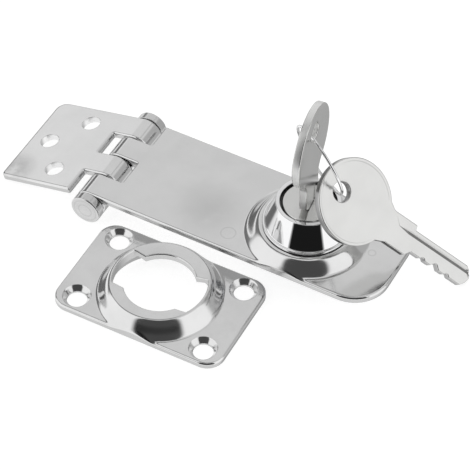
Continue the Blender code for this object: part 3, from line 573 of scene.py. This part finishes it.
# %% Give the drawing its two faces
def sheet(rims, guides, front, back, back_edge=0.2):
    """A sheet drawn in millimetres.

    The rims are (line, edge radius) pairs: the outline, anticlockwise, and then the holes, clockwise. The
    guides are closed or open lines that the triangles follow. front and back give the heights of the faces.
    """
    flat, triangles = fill(rims, guides)
    drop = np.zeros(len(flat))
    lift = np.zeros(len(flat))
    for rim, radius in rims:
        near = gaps(flat, rim)
        drop = np.maximum(drop, edge_drop(near, radius))
        lift = np.maximum(lift, edge_drop(near, min(radius, back_edge)))
    made = bmesh.new()
    fronts = [made.verts.new((x * MM, y * MM, z * MM)) for (x, y), z in zip(flat, front(flat) - drop)]
    backs = [made.verts.new((x * MM, y * MM, z * MM)) for (x, y), z in zip(flat, back(flat) + lift)]
    for triangle in triangles:
        made.faces.new([fronts[i] for i in triangle])
        made.faces.new([backs[i] for i in reversed(triangle)])
    for a, b in open_sides(triangles):
        wall = made.faces.new((fronts[b], fronts[a], backs[a], backs[b]))
        wall.material_index = 1
    loose = [vertex for vertex in made.verts if not vertex.link_faces]
    bmesh.ops.delete(made, geom=loose, context="VERTS")
    return made


print("0.1 mm from its rim, an edge of 0.5 mm has dropped", round(float(edge_drop(0.1, 0.5)), 2), "mm")

# %% [markdown]
# The pressed dome
#
# The strap and the strike plate have the same round dome. It is a little wider than the plate, so the
# plate's long edges cut through its foot. Its flank is S-shaped, because sheet bends gently into the foot of
# a dome and over its top. Rings of points over the flank keep its reflection smooth.

# %% The dome
DOME_RADIUS = 17.4
DOME_FOOT_INSET = 2.4
DOME_TOP_INSET = 1.2
RING_STEPS = 160


def reach(points, middle=(0.0, 0.0)):
    """How far each point is from a middle."""
    return np.hypot(points[:, 0] - middle[0], points[:, 1] - middle[1])


def dome(radius, rise, foot, top):
    """The height of a dome at a distance from its middle."""
    share = np.clip((foot - radius) / (foot - top), 0, 1)
    return rise * (1 - np.cos(math.pi * share)) / 2


def dome_rings(middle, foot, top, count=16):
    """Rings over a dome's flank for the triangles to follow."""
    radii = [foot + 0.25, *(foot + (top - foot) * i / count for i in range(count + 1)), top - 0.25]
    return [(circle(middle, radius, RING_STEPS), True) for radius in radii]


print("the dome is", 2 * DOME_RADIUS, "mm across its foot")

# %% [markdown]
# Knuckles
#
# Each hinged plate ends in tabs that are rolled round the pin. Flat, a tab is as long as its roll. Rolling it
# is then only a change of coordinates: what lies beyond the bend line goes round the pin by its length over
# the radius of the sheet's middle.

# %% Tabs and their roll
SHEET = 2.0
HALF_WIDTH = 16.0
TAB_WIDTH = 2 * HALF_WIDTH / 4
GAP = 0.3
ROLL_RADIUS = BARREL - SHEET / 2
ROLL_LENGTH = ROLL_RADIUS * math.radians(295)
ROLL_LINES = 60
ROLL_STEP = 0.29
SLOT_DEPTH = 5.8
SLOT_CORNER = 0.4
SHEET_EDGE = 0.65


def tab_ends(index):
    """The two ends across the plate of one of its four tabs, counted from the front."""
    front = -HALF_WIDTH + TAB_WIDTH * index
    return front + (GAP / 2 if index else 0), front + TAB_WIDTH - (GAP / 2 if index < 3 else 0)


def hinged_outline(length, front_radius, back_radius, own_tabs):
    """The flat outline of a hinged plate: its tabs, the slots between them and its far end."""
    corners = []
    for index in (3, 2, 1, 0):
        front, back = tab_ends(index)
        if index in own_tabs:
            corners += [((-ROLL_LENGTH, back), 0), ((-ROLL_LENGTH, front), 0)]
        else:
            low = -HALF_WIDTH if index == 0 else front - GAP
            high = HALF_WIDTH if index == 3 else back + GAP
            corners += [((SLOT_DEPTH, high), SLOT_CORNER), ((SLOT_DEPTH, low), SLOT_CORNER)]
    corners += [((length, -HALF_WIDTH), front_radius), ((length, HALF_WIDTH), back_radius)]
    return fine(rounded(corners, 14), 0.3)


def tab_lines(own_tabs):
    """Lines across the tabs, every few degrees of the roll."""
    lines = []
    for index in own_tabs:
        front, back = tab_ends(index)
        across = np.linspace(front + 0.5, back - 0.5, 9)
        lines += [([(0.3 - ROLL_STEP * i, y) for y in across], False) for i in range(ROLL_LINES)]
    return lines


def roll_up(made, side):
    """Rolls what lies beyond the bend line round the pin; side is -1 for a plate that runs to -X."""
    for vertex in made.verts:
        x, y, z = vertex.co
        if x < 0:
            turn = -x / (ROLL_RADIUS * MM)
            x, z = -z * math.sin(turn), z * math.cos(turn)
        vertex.co = (side * x, y, z)
    return made


print("each tab is", round(ROLL_LENGTH, 1), "mm long before it is rolled")

# %% [markdown]
# The strap
#
# The strap is the part that everyone sees: 85 mm of polished sheet with its dome and two rounded corners. The
# hole for the lock has two flats, which keep the lock from turning in it.

# %% Build the strap
STRAP_LENGTH = 85.2
STRAP_CORNER = 10.0
STRAP_RISE = 3.8
STRAP_TOP = 12.6
LOCK_HOLE = 9.1
LOCK_HOLE_FLAT = 8.3
LOCK_HOLE_EDGE = 0.15


def strap_face(points):
    """The height of the strap's polished face."""
    return BARREL + dome(reach(points, (LOCK_X, 0)), STRAP_RISE, DOME_RADIUS, STRAP_TOP)


def strap_back(points):
    """The height of its back, where the dome is tighter by the sheet's thickness."""
    foot, top = DOME_RADIUS - DOME_FOOT_INSET, STRAP_TOP - DOME_TOP_INSET
    return BARREL - SHEET + dome(reach(points, (LOCK_X, 0)), STRAP_RISE, foot, top)


lean = math.acos(LOCK_HOLE_FLAT / LOCK_HOLE)
lock_hole = arc((LOCK_X, 0), LOCK_HOLE, lean, math.pi - lean, 24)
lock_hole += arc((LOCK_X, 0), LOCK_HOLE, math.pi + lean, math.tau - lean, 24)
strap_rims = [
    (hinged_outline(STRAP_LENGTH, STRAP_CORNER, STRAP_CORNER, (0, 2)), SHEET_EDGE),
    (lock_hole[::-1], LOCK_HOLE_EDGE),
]
strap_rings = dome_rings((LOCK_X, 0), DOME_RADIUS, STRAP_TOP)
strap_rings += dome_rings((LOCK_X, 0), DOME_RADIUS - DOME_FOOT_INSET, STRAP_TOP - DOME_TOP_INSET, 4)
strap = sheet(strap_rims, strap_rings + tab_lines((0, 2)), strap_face, strap_back)
strap = roll_up(strap, 1)
piece("strap", strap, HINGE_FRAME, (strap_steel, cut_steel), "hasp", "hasp_strap")

# %% [markdown]
# The leaf
#
# The leaf is the plate that is screwed down. It has two tabs, which fit between the strap's, and three plain
#  holes. It is made like the strap. The walls of its holes get a brighter metal, a painted reflection of the
#  white table under them.

# %% Build the leaf
LEAF_LENGTH = 28.6
FRONT_CORNER = 1.2
BACK_CORNER = 3.2
LEAF_HOLE = 2.65
LEAF_HOLE_EDGE = 0.12
LEAF_HOLES = ((14.4, -9.9), (22.3, 0.0), (14.4, 9.9))
leaf_rims = [(hinged_outline(LEAF_LENGTH, FRONT_CORNER, BACK_CORNER, (1, 3)), SHEET_EDGE)]
leaf_rims += [(circle(middle, LEAF_HOLE)[::-1], LEAF_HOLE_EDGE) for middle in LEAF_HOLES]


def in_leaf_hole(x, y, _):
    return any(math.dist((x, y), middle) < LEAF_HOLE + 0.02 for middle in LEAF_HOLES)


def level(height):
    """A flat face at one height."""
    return lambda points: np.full(len(points), height)


leaf = sheet(leaf_rims, tab_lines((1, 3)), level(BARREL), level(BARREL - SHEET))
# The hole walls get the brighter metal, a painted reflection.
leaf = roll_up(refinish(leaf, 2, in_leaf_hole), -1)
leaf_metals = (leaf_steel, cut_steel, hole_wall_painted_light)
piece("leaf", leaf, LEAF_FRAME, leaf_metals, "leaf", "hinge_leaf")

# %% [markdown]
# The strike plate
#
# The cam's wings go down through the two wide notches of this plate and turn under the two lips between them.
# The lips slope down inwards. The four screw holes are sunk, so each has a small cone. Booleans could cut the
# cones and lips, but as terms in the height of the face they meet without a seam.

# %% The strike plate's faces
STRIKE_RISE = 4.9
STRIKE_TOP = DOME_RADIUS - 4.5
STRIKE_LIP = DOME_RADIUS - 7.7
LIP_DROP = 0.8
SCREW_HOLE = 2.7
SINK_WIDTH = 1.2
SINK_DEPTH = 1.4
STRIKE_HOLES = [(x, y) for x in (-19.0, 19.0) for y in (-11.3, 11.3)]


def lip_slope(radius):
    """How far the lips have dropped at a distance from the middle, with a soft crest at the dome's top."""
    share = (STRIKE_TOP - radius) / (STRIKE_TOP - STRIKE_LIP)
    return LIP_DROP * (share + np.sqrt(share * share + 0.03)) / 2 - 0.005


def strike_face(points):
    """The height of the strike plate's face: the dome, the lips' slope and the sunk holes."""
    radius = reach(points)
    height = SHEET + dome(radius, STRIKE_RISE, DOME_RADIUS, STRIKE_TOP)
    height -= np.where(radius < STRIKE_TOP + 2.5, np.clip(lip_slope(radius), 0, None), 0)
    for hole in STRIKE_HOLES:
        sink = SHEET - SINK_DEPTH + (reach(points, hole) - SCREW_HOLE) * SINK_DEPTH / SINK_WIDTH
        height = np.minimum(height, np.where(sink < SHEET, sink, height))
    return height


def strike_back(points):
    """The height of its back, which follows the dome and the lips."""
    radius = reach(points)
    foot, top = DOME_RADIUS - DOME_FOOT_INSET, STRIKE_TOP - DOME_TOP_INSET
    height = dome(radius, STRIKE_RISE, foot, top)
    return height - np.where(radius < top, LIP_DROP * (top - radius) / (top - STRIKE_LIP), 0)


print("the strike plate's dome is", SHEET + STRIKE_RISE, "mm high")

# %% [markdown]
# Cutting and pressing the strike plate
#
# The plate is a rectangle with rounded corners, and its opening has two wide notches and the two lips between
# them. The triangles follow rings over the dome and each screw hole's cone, so highlights on them stay round.

# %% Draw the opening
STRIKE_NOTCH = DOME_RADIUS - 4.7
NOTCH_ANGLE = math.radians(29)
LIP_ANGLE = math.radians(52)
opening = []
for side in (0, math.pi):
    across = side + math.pi / 2
    opening += arc((0, 0), STRIKE_NOTCH, side - NOTCH_ANGLE, side + NOTCH_ANGLE, 30)
    opening += arc((0, 0), STRIKE_LIP, across - LIP_ANGLE, across + LIP_ANGLE, 40)
opening = rounded([(point, 0) for point in opening])[::-1]
print("the opening is", round(2 * STRIKE_NOTCH, 1), "mm wide at its notches")

# %% Build the strike plate
HALF_X = 25.1
HALF_Y = 16.05
STRIKE_CORNER = 5.0
OPENING_EDGE = 0.3
SCREW_HOLE_EDGE = 0.08
CONE_RINGS = (3.1, 3.5, 3.88, 3.93, 4.1)
strike_corners = [(HALF_X, -HALF_Y), (HALF_X, HALF_Y), (-HALF_X, HALF_Y), (-HALF_X, -HALF_Y)]
strike_rims = [
    (fine(rounded([(corner, STRIKE_CORNER) for corner in strike_corners], 20), 0.5), SHEET_EDGE),
    (fine(opening, 0.4), OPENING_EDGE),
]
strike_rims += [(circle(hole, SCREW_HOLE, 48)[::-1], SCREW_HOLE_EDGE) for hole in STRIKE_HOLES]
strike_rings = dome_rings((0, 0), DOME_RADIUS, STRIKE_TOP)
for radius in np.linspace(STRIKE_TOP - 0.5, 10.2, 8):
    strike_rings.append((circle((0, 0), radius, RING_STEPS), True))
for hole in STRIKE_HOLES:
    strike_rings += [(circle(hole, radius, 48), True) for radius in CONE_RINGS]
strike = sheet(strike_rims, strike_rings, strike_face, strike_back)
piece("strike", strike, STRIKE_FRAME, (plate_steel, cut_steel), "hasp", "strike_plate")

# %% [markdown]
# Turned pieces
#
# The hinge pin, the lock's housing and the wire ring are round, so each is a section turned about its axis.
# A lathe works in the same way. The section's corners get their small radii in the drawing.

# %% Turn a section about its axis
MERGE_GAP = 0.0005


def turned(section, steps, shape=None):
    """A closed section of (radius, height) points turned about Z; shape may move each point."""
    made = bmesh.new()
    rows = []
    for step in range(steps):
        angle = math.tau * step / steps
        row = []
        for radius, height in section:
            if shape:
                radius = shape(radius, height, angle)
            place = Vector((radius * math.cos(angle), radius * math.sin(angle), height)) * MM
            row.append(made.verts.new(place))
        rows.append(row)
    count = len(section)
    for row, following in zip(rows, rows[1:] + rows[:1]):
        for k in range(count):
            after = (k + 1) % count
            made.faces.new((row[k], following[k], following[after], row[after]))
    bmesh.ops.remove_doubles(made, verts=made.verts, dist=MERGE_GAP * MM)
    return made


print("turned points closer than", MERGE_GAP, "mm become one")

# %% [markdown]
# The hinge pin
#
# The pin is a steel rod with a head at each end. Its heads are as wide as the barrel, with a turned chamfer
# on each. Half of the section is drawn, and the other half is its mirror image.

# %% Build the pin
PIN_CORE = 2.25
HEAD_FOOT = 16.15
HEAD_END = 18.65
pin_half = [
    ((PIN_CORE, HEAD_FOOT), 0),
    ((BARREL, HEAD_FOOT), 0.12),
    ((BARREL, HEAD_END), 0.4),
    ((0.0, HEAD_END), 0),
]
pin_line = pin_half + [((radius, -height), ease) for (radius, height), ease in pin_half[::-1]]
pin_section = rounded(pin_line, 6)
pin_place = HINGE_FRAME @ Matrix.Rotation(math.radians(90), 4, "X")
piece("pin", turned(pin_section, 96), pin_place, (pin_steel,), "hasp", "hinge_pin")

# %% [markdown]
# The lock's housing
#
# The housing is cast and chromed: a polished cone on a thin flange, and below it a threaded body with two
# flats that fits the strap's hole. The thread is a spiral, so each point's height is compared with the
# spiral's height at its angle. The two pockets in the bore are where the wafers lock. The mouth round the
# plug is dark, as little light gets in. A Screw modifier could wind the thread, but it would not meet the
# flats. As one change of the turned section, thread, flats and pockets fit each other.

# %% The thread, the flats and the pockets
BODY = 8.8
BODY_FOOT = 4.9
BODY_FLAT = 8.0
BORE = 6.2
HEAD_BORE = 7.2
HEAD_SEAT = 18.65
FLANGE = 12.2
FLANGE_FOOT = 12.9
RIM_TOP = 20.9
THREAD_START = 5.3
THREAD_END = 12.6
THREAD_PITCH = 0.9
THREAD_DEPTH = 0.35
POCKET_FOOT = 6.41
POCKET_TOP = 17.39
POCKET_REACH = 6.62
POCKET_HALF = 3.64
TINY = 1e-6


def housing_shape(radius, height, angle):
    """Cuts the thread, the two flats and the wafers' pockets into the turned section."""
    if radius > BODY - 0.4 and THREAD_START < height < THREAD_END:
        wave = (height / THREAD_PITCH - angle / math.tau) % 1.0
        radius -= THREAD_DEPTH * abs(2 * wave - 1)
    if radius > BODY_FLAT and height < FLANGE_FOOT - 0.02:
        return min(radius, BODY_FLAT / max(abs(math.cos(angle)), TINY))
    if radius < BORE + 0.1 and POCKET_FOOT < height < POCKET_TOP:
        for pocket in (90, 180):
            lean = (angle - LOCK_TURN - math.radians(pocket) + math.pi) % math.tau - math.pi
            if abs(lean) < math.pi / 3:
                depth = min(POCKET_REACH / math.cos(lean), POCKET_HALF / max(abs(math.sin(lean)), TINY))
                radius = max(radius, depth)
    return radius


thread_rows = [(BODY, THREAD_START + 0.1 * i) for i in range(74)]
print("the thread has", math.floor((THREAD_END - THREAD_START) / THREAD_PITCH), "turns")

# %% [markdown]
# The housing's section
#
# The section goes down the bore, out under the body and up over the thread. Then it goes round the flange, up
# the cone and over its rim into the mouth.

# %% Turn the housing
FLANGE_TOP = 13.5
CONE_FOOT = 11.5
CONE_TOP = 8.7
MOUTH = 7.65
MOUTH_FOOT = 19.6
pocket_rows = (POCKET_TOP + 0.01, POCKET_TOP - 0.01, 12.0, POCKET_FOOT + 0.01, POCKET_FOOT - 0.01)
housing_corners = [
    ((BORE, HEAD_SEAT), 0),
    *(((BORE, height), 0) for height in pocket_rows),
    ((BORE, BODY_FOOT), 0),
    ((BODY, BODY_FOOT), 0.25),
    *((place, 0) for place in thread_rows),
    ((BODY, FLANGE_FOOT - 0.01), 0),
    ((BODY, FLANGE_FOOT), 0),
    ((FLANGE, FLANGE_FOOT), 0.08),
    ((FLANGE, FLANGE_TOP), 0.25),
    ((CONE_FOOT, FLANGE_TOP), 0.35),
    ((CONE_TOP, RIM_TOP), 0.35),
    ((MOUTH, RIM_TOP), 0.15),
    ((MOUTH - 0.05, MOUTH_FOOT), 0),
    ((HEAD_BORE, MOUTH_FOOT), 0),
    ((HEAD_BORE, HEAD_SEAT), 0),
]


def in_mouth(x, y, z):
    return math.hypot(x, y) < MOUTH - 0.01 and z > HEAD_SEAT - 0.05


housing = refinish(turned(rounded(housing_corners, 8), 160, housing_shape), 1, in_mouth)
print("the housing is", round(RIM_TOP - BODY_FOOT, 1), "mm tall and", 2 * FLANGE, "mm across its flange")

# %% [markdown]
# The stop lug
#
# A small lug under the body stops the plug at both ends of its quarter turn. Its foot is drawn as two arcs
# and pushed up to the body, because a turned section can't give a piece that is on one side only.

# %% Add the lug and finish the housing
LUG_FOOT = 4.0
LUG_INNER = 7.2
LUG_OUTER = 7.7
lug_side = LOCK_TURN + math.pi
lug_reach = math.radians(11)
lug_line = arc((0, 0), LUG_INNER, lug_side - lug_reach, lug_side + lug_reach, 6)
lug_line += arc((0, 0), LUG_OUTER, lug_side + lug_reach, lug_side - lug_reach, 6)
lug_floor = housing.faces.new([housing.verts.new((x * MM, y * MM, LUG_FOOT * MM)) for x, y in lug_line])
raised = bmesh.ops.extrude_face_region(housing, geom=[lug_floor], use_keep_orig=True)["geom"]
raised_points = [part for part in raised if isinstance(part, bmesh.types.BMVert)]
bmesh.ops.translate(housing, vec=(0, 0, (BODY_FOOT - LUG_FOOT) * MM), verts=raised_points)
piece("housing", housing, LOCK_FRAME, (chrome, shaded_bore), "hasp", "lock_housing")

# %% [markdown]
# The keys
#
# Both keys are stamped from the same blank: a round bow, a collar that stops against the plug, and a blade
# with a groove along one face. The cuts in the blade's front lift the wafers. A key is a thick sheet, so the
# sheet maker builds it too. The outline comes first, with each cut as a small flat-bottomed notch.

# %% Draw a key's outline
KEY_HALF = 1.05
BOW = 11.5
KEY_HOLE = (-5.0, 0.0)
KEY_EDGE = 0.28
BLADE_FRONT = -3.1
BLADE_BACK = 2.8
COLLAR_FRONT = -4.8
COLLAR_BACK = 4.2
FIRST_CUT = 25.7
CUT_STEP = 2.2
CUT_FLAT = 0.35
CUTS = (0.55, 0.0, 1.15, 0.0, 0.55)
KEY_TIP = 41.59
TIP_CORNER = 41.0


def key_outline():
    """A key's outline, anticlockwise from the back of the bow."""
    join = math.asin(COLLAR_BACK / BOW) + math.radians(8)
    leave = math.asin(-COLLAR_FRONT / BOW) + math.radians(6)
    corners = [(point, 0) for point in arc((0, 0), BOW, join, math.tau - leave, 150)]
    corners += [((12.7, COLLAR_FRONT), 1.6), ((19.8, COLLAR_FRONT), 0.3), ((21.3, BLADE_FRONT), 0.25)]
    for i, depth in enumerate(CUTS):
        if depth:
            middle = FIRST_CUT + CUT_STEP * i
            corners += [
                ((middle - depth - CUT_FLAT, BLADE_FRONT), 0.12),
                ((middle - CUT_FLAT, BLADE_FRONT + depth), 0.15),
                ((middle + CUT_FLAT, BLADE_FRONT + depth), 0.15),
                ((middle + depth + CUT_FLAT, BLADE_FRONT), 0.12),
            ]
    corners += [((39.5, BLADE_FRONT), 0.4), ((TIP_CORNER, -1.6), 0.4), ((KEY_TIP, 0), 0.5)]
    corners += [((TIP_CORNER, 1.6), 0.4), ((39.5, BLADE_BACK), 0.4), ((20.4, BLADE_BACK), 0.15)]
    corners += [((20.2, COLLAR_BACK), 0.3), ((12.1, COLLAR_BACK), 1.6)]
    return fine(rounded(corners, 5), 0.3)


print("a key's outline has", len(key_outline()), "points")

# %% [markdown]
# The keys' faces
#
# A shallow stamped line runs round the bow, and the groove runs along the blade. Both could be cut with
# booleans, but as terms in the height of the face they keep the bow flat beside them. Guide lines keep the
# triangles from crossing them, which would make them look frayed.

# %% The stamped line and the groove
BORDER_INSET = 0.85
BORDER_HALF = 0.22
BORDER_DEPTH = 0.05
HOLE_BORDER = 3.45
NECK_X = 9.0
GROOVE_Y = 1.25
GROOVE_HALF = 0.6
GROOVE_START = 14.5
GROOVE_RAMP = 4.0


def key_border(points):
    """The shallow stamped line that follows the bow's edge and the hole."""
    edge = np.abs(reach(points) - (BOW - BORDER_INSET))
    hole = np.abs(reach(points, KEY_HOLE) - HOLE_BORDER)
    near = np.minimum(edge, hole)
    near = np.where(points[:, 0] > NECK_X, 1.0, near)
    return BORDER_DEPTH * np.clip(1 - near / BORDER_HALF, 0, 1)


def key_front(points):
    """The grooved face's height."""
    x, y = points[:, 0], points[:, 1]
    deep = GROOVE_HALF * np.clip((x - GROOVE_START) / GROOVE_RAMP, 0, 1)
    groove = np.clip(deep - np.abs(y - GROOVE_Y), 0, None)
    return KEY_HALF - groove - key_border(points)


def key_back(points):
    """The plain face's height."""
    return -KEY_HALF + key_border(points)


print("the groove is", GROOVE_HALF, "mm deep and", 2 * GROOVE_HALF, "mm wide")

# %% Lines along the stamped line and the groove
def key_lines():
    """Rings over the bow's border and lines along the groove."""
    across = (-0.3, -BORDER_HALF, -0.11, 0, 0.11, BORDER_HALF, 0.3)
    rings = [circle((0, 0), BOW - BORDER_INSET + shift, 200) for shift in across]
    rings += [circle(KEY_HOLE, HOLE_BORDER + shift, 72) for shift in (-BORDER_HALF, 0, BORDER_HALF)]
    lines = []
    for ring in rings:
        kept = [point for point in ring if point[0] < NECK_X]
        if len(kept) == len(ring):
            lines.append((ring, True))
            continue
        first = next(i for i, point in enumerate(ring) if point[0] < NECK_X)
        lines.append((ring[first : first + len(kept)], False))
    for share in (-GROOVE_HALF, 0, GROOVE_HALF):
        ramp = [(GROOVE_START + 0.5 * i, GROOVE_Y + share * i / 8) for i in range(1, 9)]
        run = [(GROOVE_START + GROOVE_RAMP + 0.5 * (i + 1), GROOVE_Y + share) for i in range(46)]
        lines.append((ramp + run, False))
    return lines


print("the triangles of a key follow", len(key_lines()), "lines")

# %% [markdown]
# The groove's dark side and the two keys
#
# One side of the groove shows as a dark line. The faces on that side get their own dark metal, a painted
#  shade, because the shadow that falls there alone would be too light. Both keys come from this drawing. One
#  stands in the lock, and its edge is painted light, as a painted highlight. The other hangs on the ring, its
#  tip on the table, and its edge is painted darker, as painted shade.

# %% Build the keys
KEY_HOLE_RADIUS = 2.75


# The faces on the groove's dark side, which get painted shade.
def on_shaded_groove_side(x, y, z):
    return x > 15.0 and 0.0 < GROOVE_Y - y < GROOVE_HALF and 0.0 < z < KEY_HALF - 0.03


key_rims = [(key_outline(), KEY_EDGE), (circle(KEY_HOLE, KEY_HOLE_RADIUS, 72)[::-1], 0.22)]
# Each key's edge metal is painted light: a painted highlight on the lock key, painted shade on the other.
for name, matrix, edge, body, node in (
    ("lock_key", LOCK_KEY_FRAME, lit_key_edge, "key", "key_in_lock"),
    ("second_key", SPARE_KEY_FRAME, shaded_key_edge, "spare", "spare_key"),
):
    blank = sheet(key_rims, key_lines(), key_front, key_back, back_edge=KEY_EDGE)
    refinish(blank, 2, on_shaded_groove_side)
    piece(name, blank, matrix, (nickel, edge, groove_painted_shade), body, node)

# %% [markdown]
# The wire ring
#
# The ring is bent from thin spring wire, so it is a circle of wire: a small round section turned about the
# ring's axis. A curve with a bevel would do as well, but the turning is already here.

# %% Build the ring
RING_RADIUS = 10.3
WIRE_RADIUS = 0.4
wire = [(RING_RADIUS + x, y) for x, y in circle((0, 0), WIRE_RADIUS, 20)]
piece("wire_ring", turned(wire, 180), RING_FRAME, (chrome,), "ring", "key_ring")

# %% [markdown]
# What stays as it is
#
# The plug, its wafers and springs, and the pieces behind the lock already have their real shapes in the
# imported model. They only need their metals: brass for the wafers, zinc plating for the plates and the nut.

# %% Give the inner pieces their metals
INNER_METALS = {
    "lock_plug": plug_nickel,
    "stop_washer": zinc,
    "cam_plate": zinc,
    "tail_clip": spring_wire,
    "lock_nut": zinc,
    "toothed_washer": spring_wire,
}
for number in range(1, 6):
    INNER_METALS[f"wafer_{number}"] = brass
    INNER_METALS[f"wafer_spring_{number}"] = spring_wire
for name, finish in INNER_METALS.items():
    node = frame["nodes"][name]
    node.data.materials.clear()
    node.data.materials.append(finish)
print("inner pieces:", len(INNER_METALS))

# %% [markdown]
# The studio
#
# Polished metal has hardly any look of its own: it shows the room. The bends of the domes and knuckles in
# the photograph tell what stood round the latch. A pale card hung high at the far side, and the flat
# plates mirror it. White screens stood at the left and right, and the gaps between them and the camera's own
# side were dark. So the tent below is a world painted by direction. The camera itself sees only white.

# %% Make the tent's directions
FAR_SIDE = (-0.478, 0.878, 0)
RIGHT_SIDE = (0.878, 0.478, 0)
world = bpy.data.worlds.new("tent")
world.use_nodes = True
bpy.context.scene.world = world
tent = world.node_tree
tent.nodes.clear()
toward = add_node(tent, "ShaderNodeTexCoord", output="Generated")


def along_axis(axis):
    """How far the tent's directions point along an axis."""
    return vector_maths(tent, "DOT_PRODUCT", toward, tuple(Vector(axis).normalized()), "Value")


up = along_axis((0, 0, 1))
far = along_axis(FAR_SIDE)
right = along_axis(RIGHT_SIDE)
bearing = add_node(tent, "ShaderNodeMath", {"operation": "ARCTAN2"}, {0: right, 1: far})
turn_share = bearing * (1 / math.tau) + 0.5


def round_the_tent(stops):
    """A value that changes round the tent, from (degrees, value) stops; 0 is the far side."""
    shares = [(degrees / 360 + 0.5, value) for degrees, value in stops]
    return add_node(tent, "ShaderNodeValToRGB", {"stops": shares}, {0: turn_share}) * 1.0


print("the far side of the tent lies toward", FAR_SIDE)

# %% [markdown]
# The walls of the tent
#
# The walls go by their bearing: dark behind the camera, a white screen on each side, a dim gap at the far
# right, the card's foot, and a dark gap at the far left. Each also has a top and a foot, given as heights on
# a dome of radius 1. Lamps and panels would be the other way, but a world painted by direction is mirrored
# in the same way wherever a piece lies.

# %% Paint the walls
walls_round = [(-180, 0.01), (-138, 0.01), (-131, 1.0), (-70, 1.0), (-62, 0.2), (-22, 0.16), (-12, 0.85)]
walls_round += [(28, 0.85), (34, 0.5), (84, 0.45), (92, 1.0), (140, 1.0), (147, 0.01), (180, 0.01)]
haze = round_the_tent([(-180, 0.06), (-142, 0.06), (-135, 0.0), (143, 0.0), (150, 0.06), (180, 0.06)])
wall_tops = round_the_tent(
    [(-180, 0.91), (-138, 0.91), (-131, 0.80), (-70, 0.70), (-60, 0.6), (-36, 0.6), (-30, 0.38)]
    + [(-14, 0.38), (-6, 0.3), (28, 0.3), (36, 0.66), (84, 0.66), (92, 0.74), (140, 0.80)]
    + [(147, 0.91), (180, 0.91)]
)
foot_heights = round_the_tent(
    [(-180, 0.35), (-138, 0.35), (-131, 0.64), (-66, 0.64), (-60, 0.78), (-14, 0.78), (-8, 0.64)]
    + [(28, 0.64), (36, 0.35), (84, 0.35), (92, 0.64), (140, 0.64), (147, 0.35), (180, 0.35)]
)
table_white = round_the_tent([(-180, 1.0), (-35, 1.0), (-5, 0.5), (60, 0.5), (100, 1.0), (180, 1.0)])
walls = round_the_tent(walls_round) + haze * smooth_step(up, 0.05, 0.3)
print("the walls have", len(walls_round), "stops")

# %% [markdown]
# Above and below the walls
#
# Above the walls the card ends at the dark ceiling, and a lit strip of ceiling runs over the camera. Under
# their feet is the table's own white, greyer at the far side. Each region is a soft mask, and the masks are
# laid over each other in turn.

# %% Paint the ceiling and the card
CARD_AXIS = (-0.35, 0.55, 0.76)
DARK_CEILING = 0.17
LIT_CEILING = 0.85
card = along_axis(CARD_AXIS)
leafward = along_axis((-1, 0, 0))
ceiling = smooth_step(card, 0.66, 0.62, DARK_CEILING, LIT_CEILING)
right_ceiling = smooth_step(card, 0.83, 0.80, 0.45, 0.7)
right_side = smooth_step(right, 0.1, 0.35)
ceiling = ceiling * (1.0 - right_side) + right_ceiling * right_side
card_light = smooth_step(leafward, 0.6, 0.69, 0.71, 0.87)
card_mask = smooth_step(card, 0.845, 0.862)
above = ceiling * (1.0 - card_mask) + card_light * card_mask
print("the card hangs", round(math.degrees(math.asin(Vector(CARD_AXIS).normalized().z))), "degrees up")

# %% Lay the regions over each other
wall_mask = smooth_step(up - wall_tops, 0.025, -0.025)
light = above * (1.0 - wall_mask) + walls * wall_mask
below = table_white * smooth_step(up, -0.4, -0.75, 1.0, 0.9)
foot_mask = smooth_step(up - foot_heights + 0.7, 0.03, -0.03)
light = light * (1.0 - foot_mask) + below * foot_mask
tent_light = add_node(tent, "ShaderNodeBackground", {}, {"Color": light, "Strength": 1.0})
white = add_node(tent, "ShaderNodeBackground", {}, {"Color": (1, 1, 1, 1), "Strength": 1.0})
seen = add_node(tent, "ShaderNodeLightPath", output="Is Camera Ray")
room = add_node(tent, "ShaderNodeMixShader", {}, {0: seen, 1: tent_light, 2: white})
add_node(tent, "ShaderNodeOutputWorld", {}, {"Surface": room})
print("the tent has", len(tent.nodes), "nodes")

# %% [markdown]
# The table
#
# The latch lies on a white table. The table glows a little, so that it is white like the paper of a
# catalogue, and keeps the soft shadow under the pieces. Metal does not mirror it, because the tent
# already goes on below the horizon.

# %% Build the table
TABLE_HALF = 3.0
TABLE_Z = -0.2 * MM
GLOW = 0.8
table_corners = [(x * TABLE_HALF, y * TABLE_HALF, TABLE_Z) for x, y in ((-1, -1), (1, -1), (1, 1), (-1, 1))]
table_mesh = bpy.data.meshes.new("table")
table_mesh.from_pydata(table_corners, [], [(0, 1, 2, 3)])
paper = bpy.data.materials.new("white_paper")
paper.use_nodes = True
paper_tree = paper.node_tree
paper_tree.nodes.clear()
glow = add_node(paper_tree, "ShaderNodeEmission", {}, {"Color": (1, 1, 1, 1), "Strength": GLOW})
soft = add_node(paper_tree, "ShaderNodeBsdfDiffuse", {}, {"Color": (0.5, 0.5, 0.5, 1)})
both = add_node(paper_tree, "ShaderNodeAddShader", {}, {0: glow, 1: soft})
add_node(paper_tree, "ShaderNodeOutputMaterial", {}, {"Surface": both})
table_mesh.materials.append(paper)
table = bpy.data.objects.new("table", table_mesh)
table.visible_glossy = False
bpy.context.scene.collection.objects.link(table)
print("the table is", 2 * TABLE_HALF, "m square")

# %% [markdown]
# Looking at the whole
#
# The colours go to the picture as they are.

# %% Set the view
bpy.context.scene.view_settings.view_transform = "Standard"
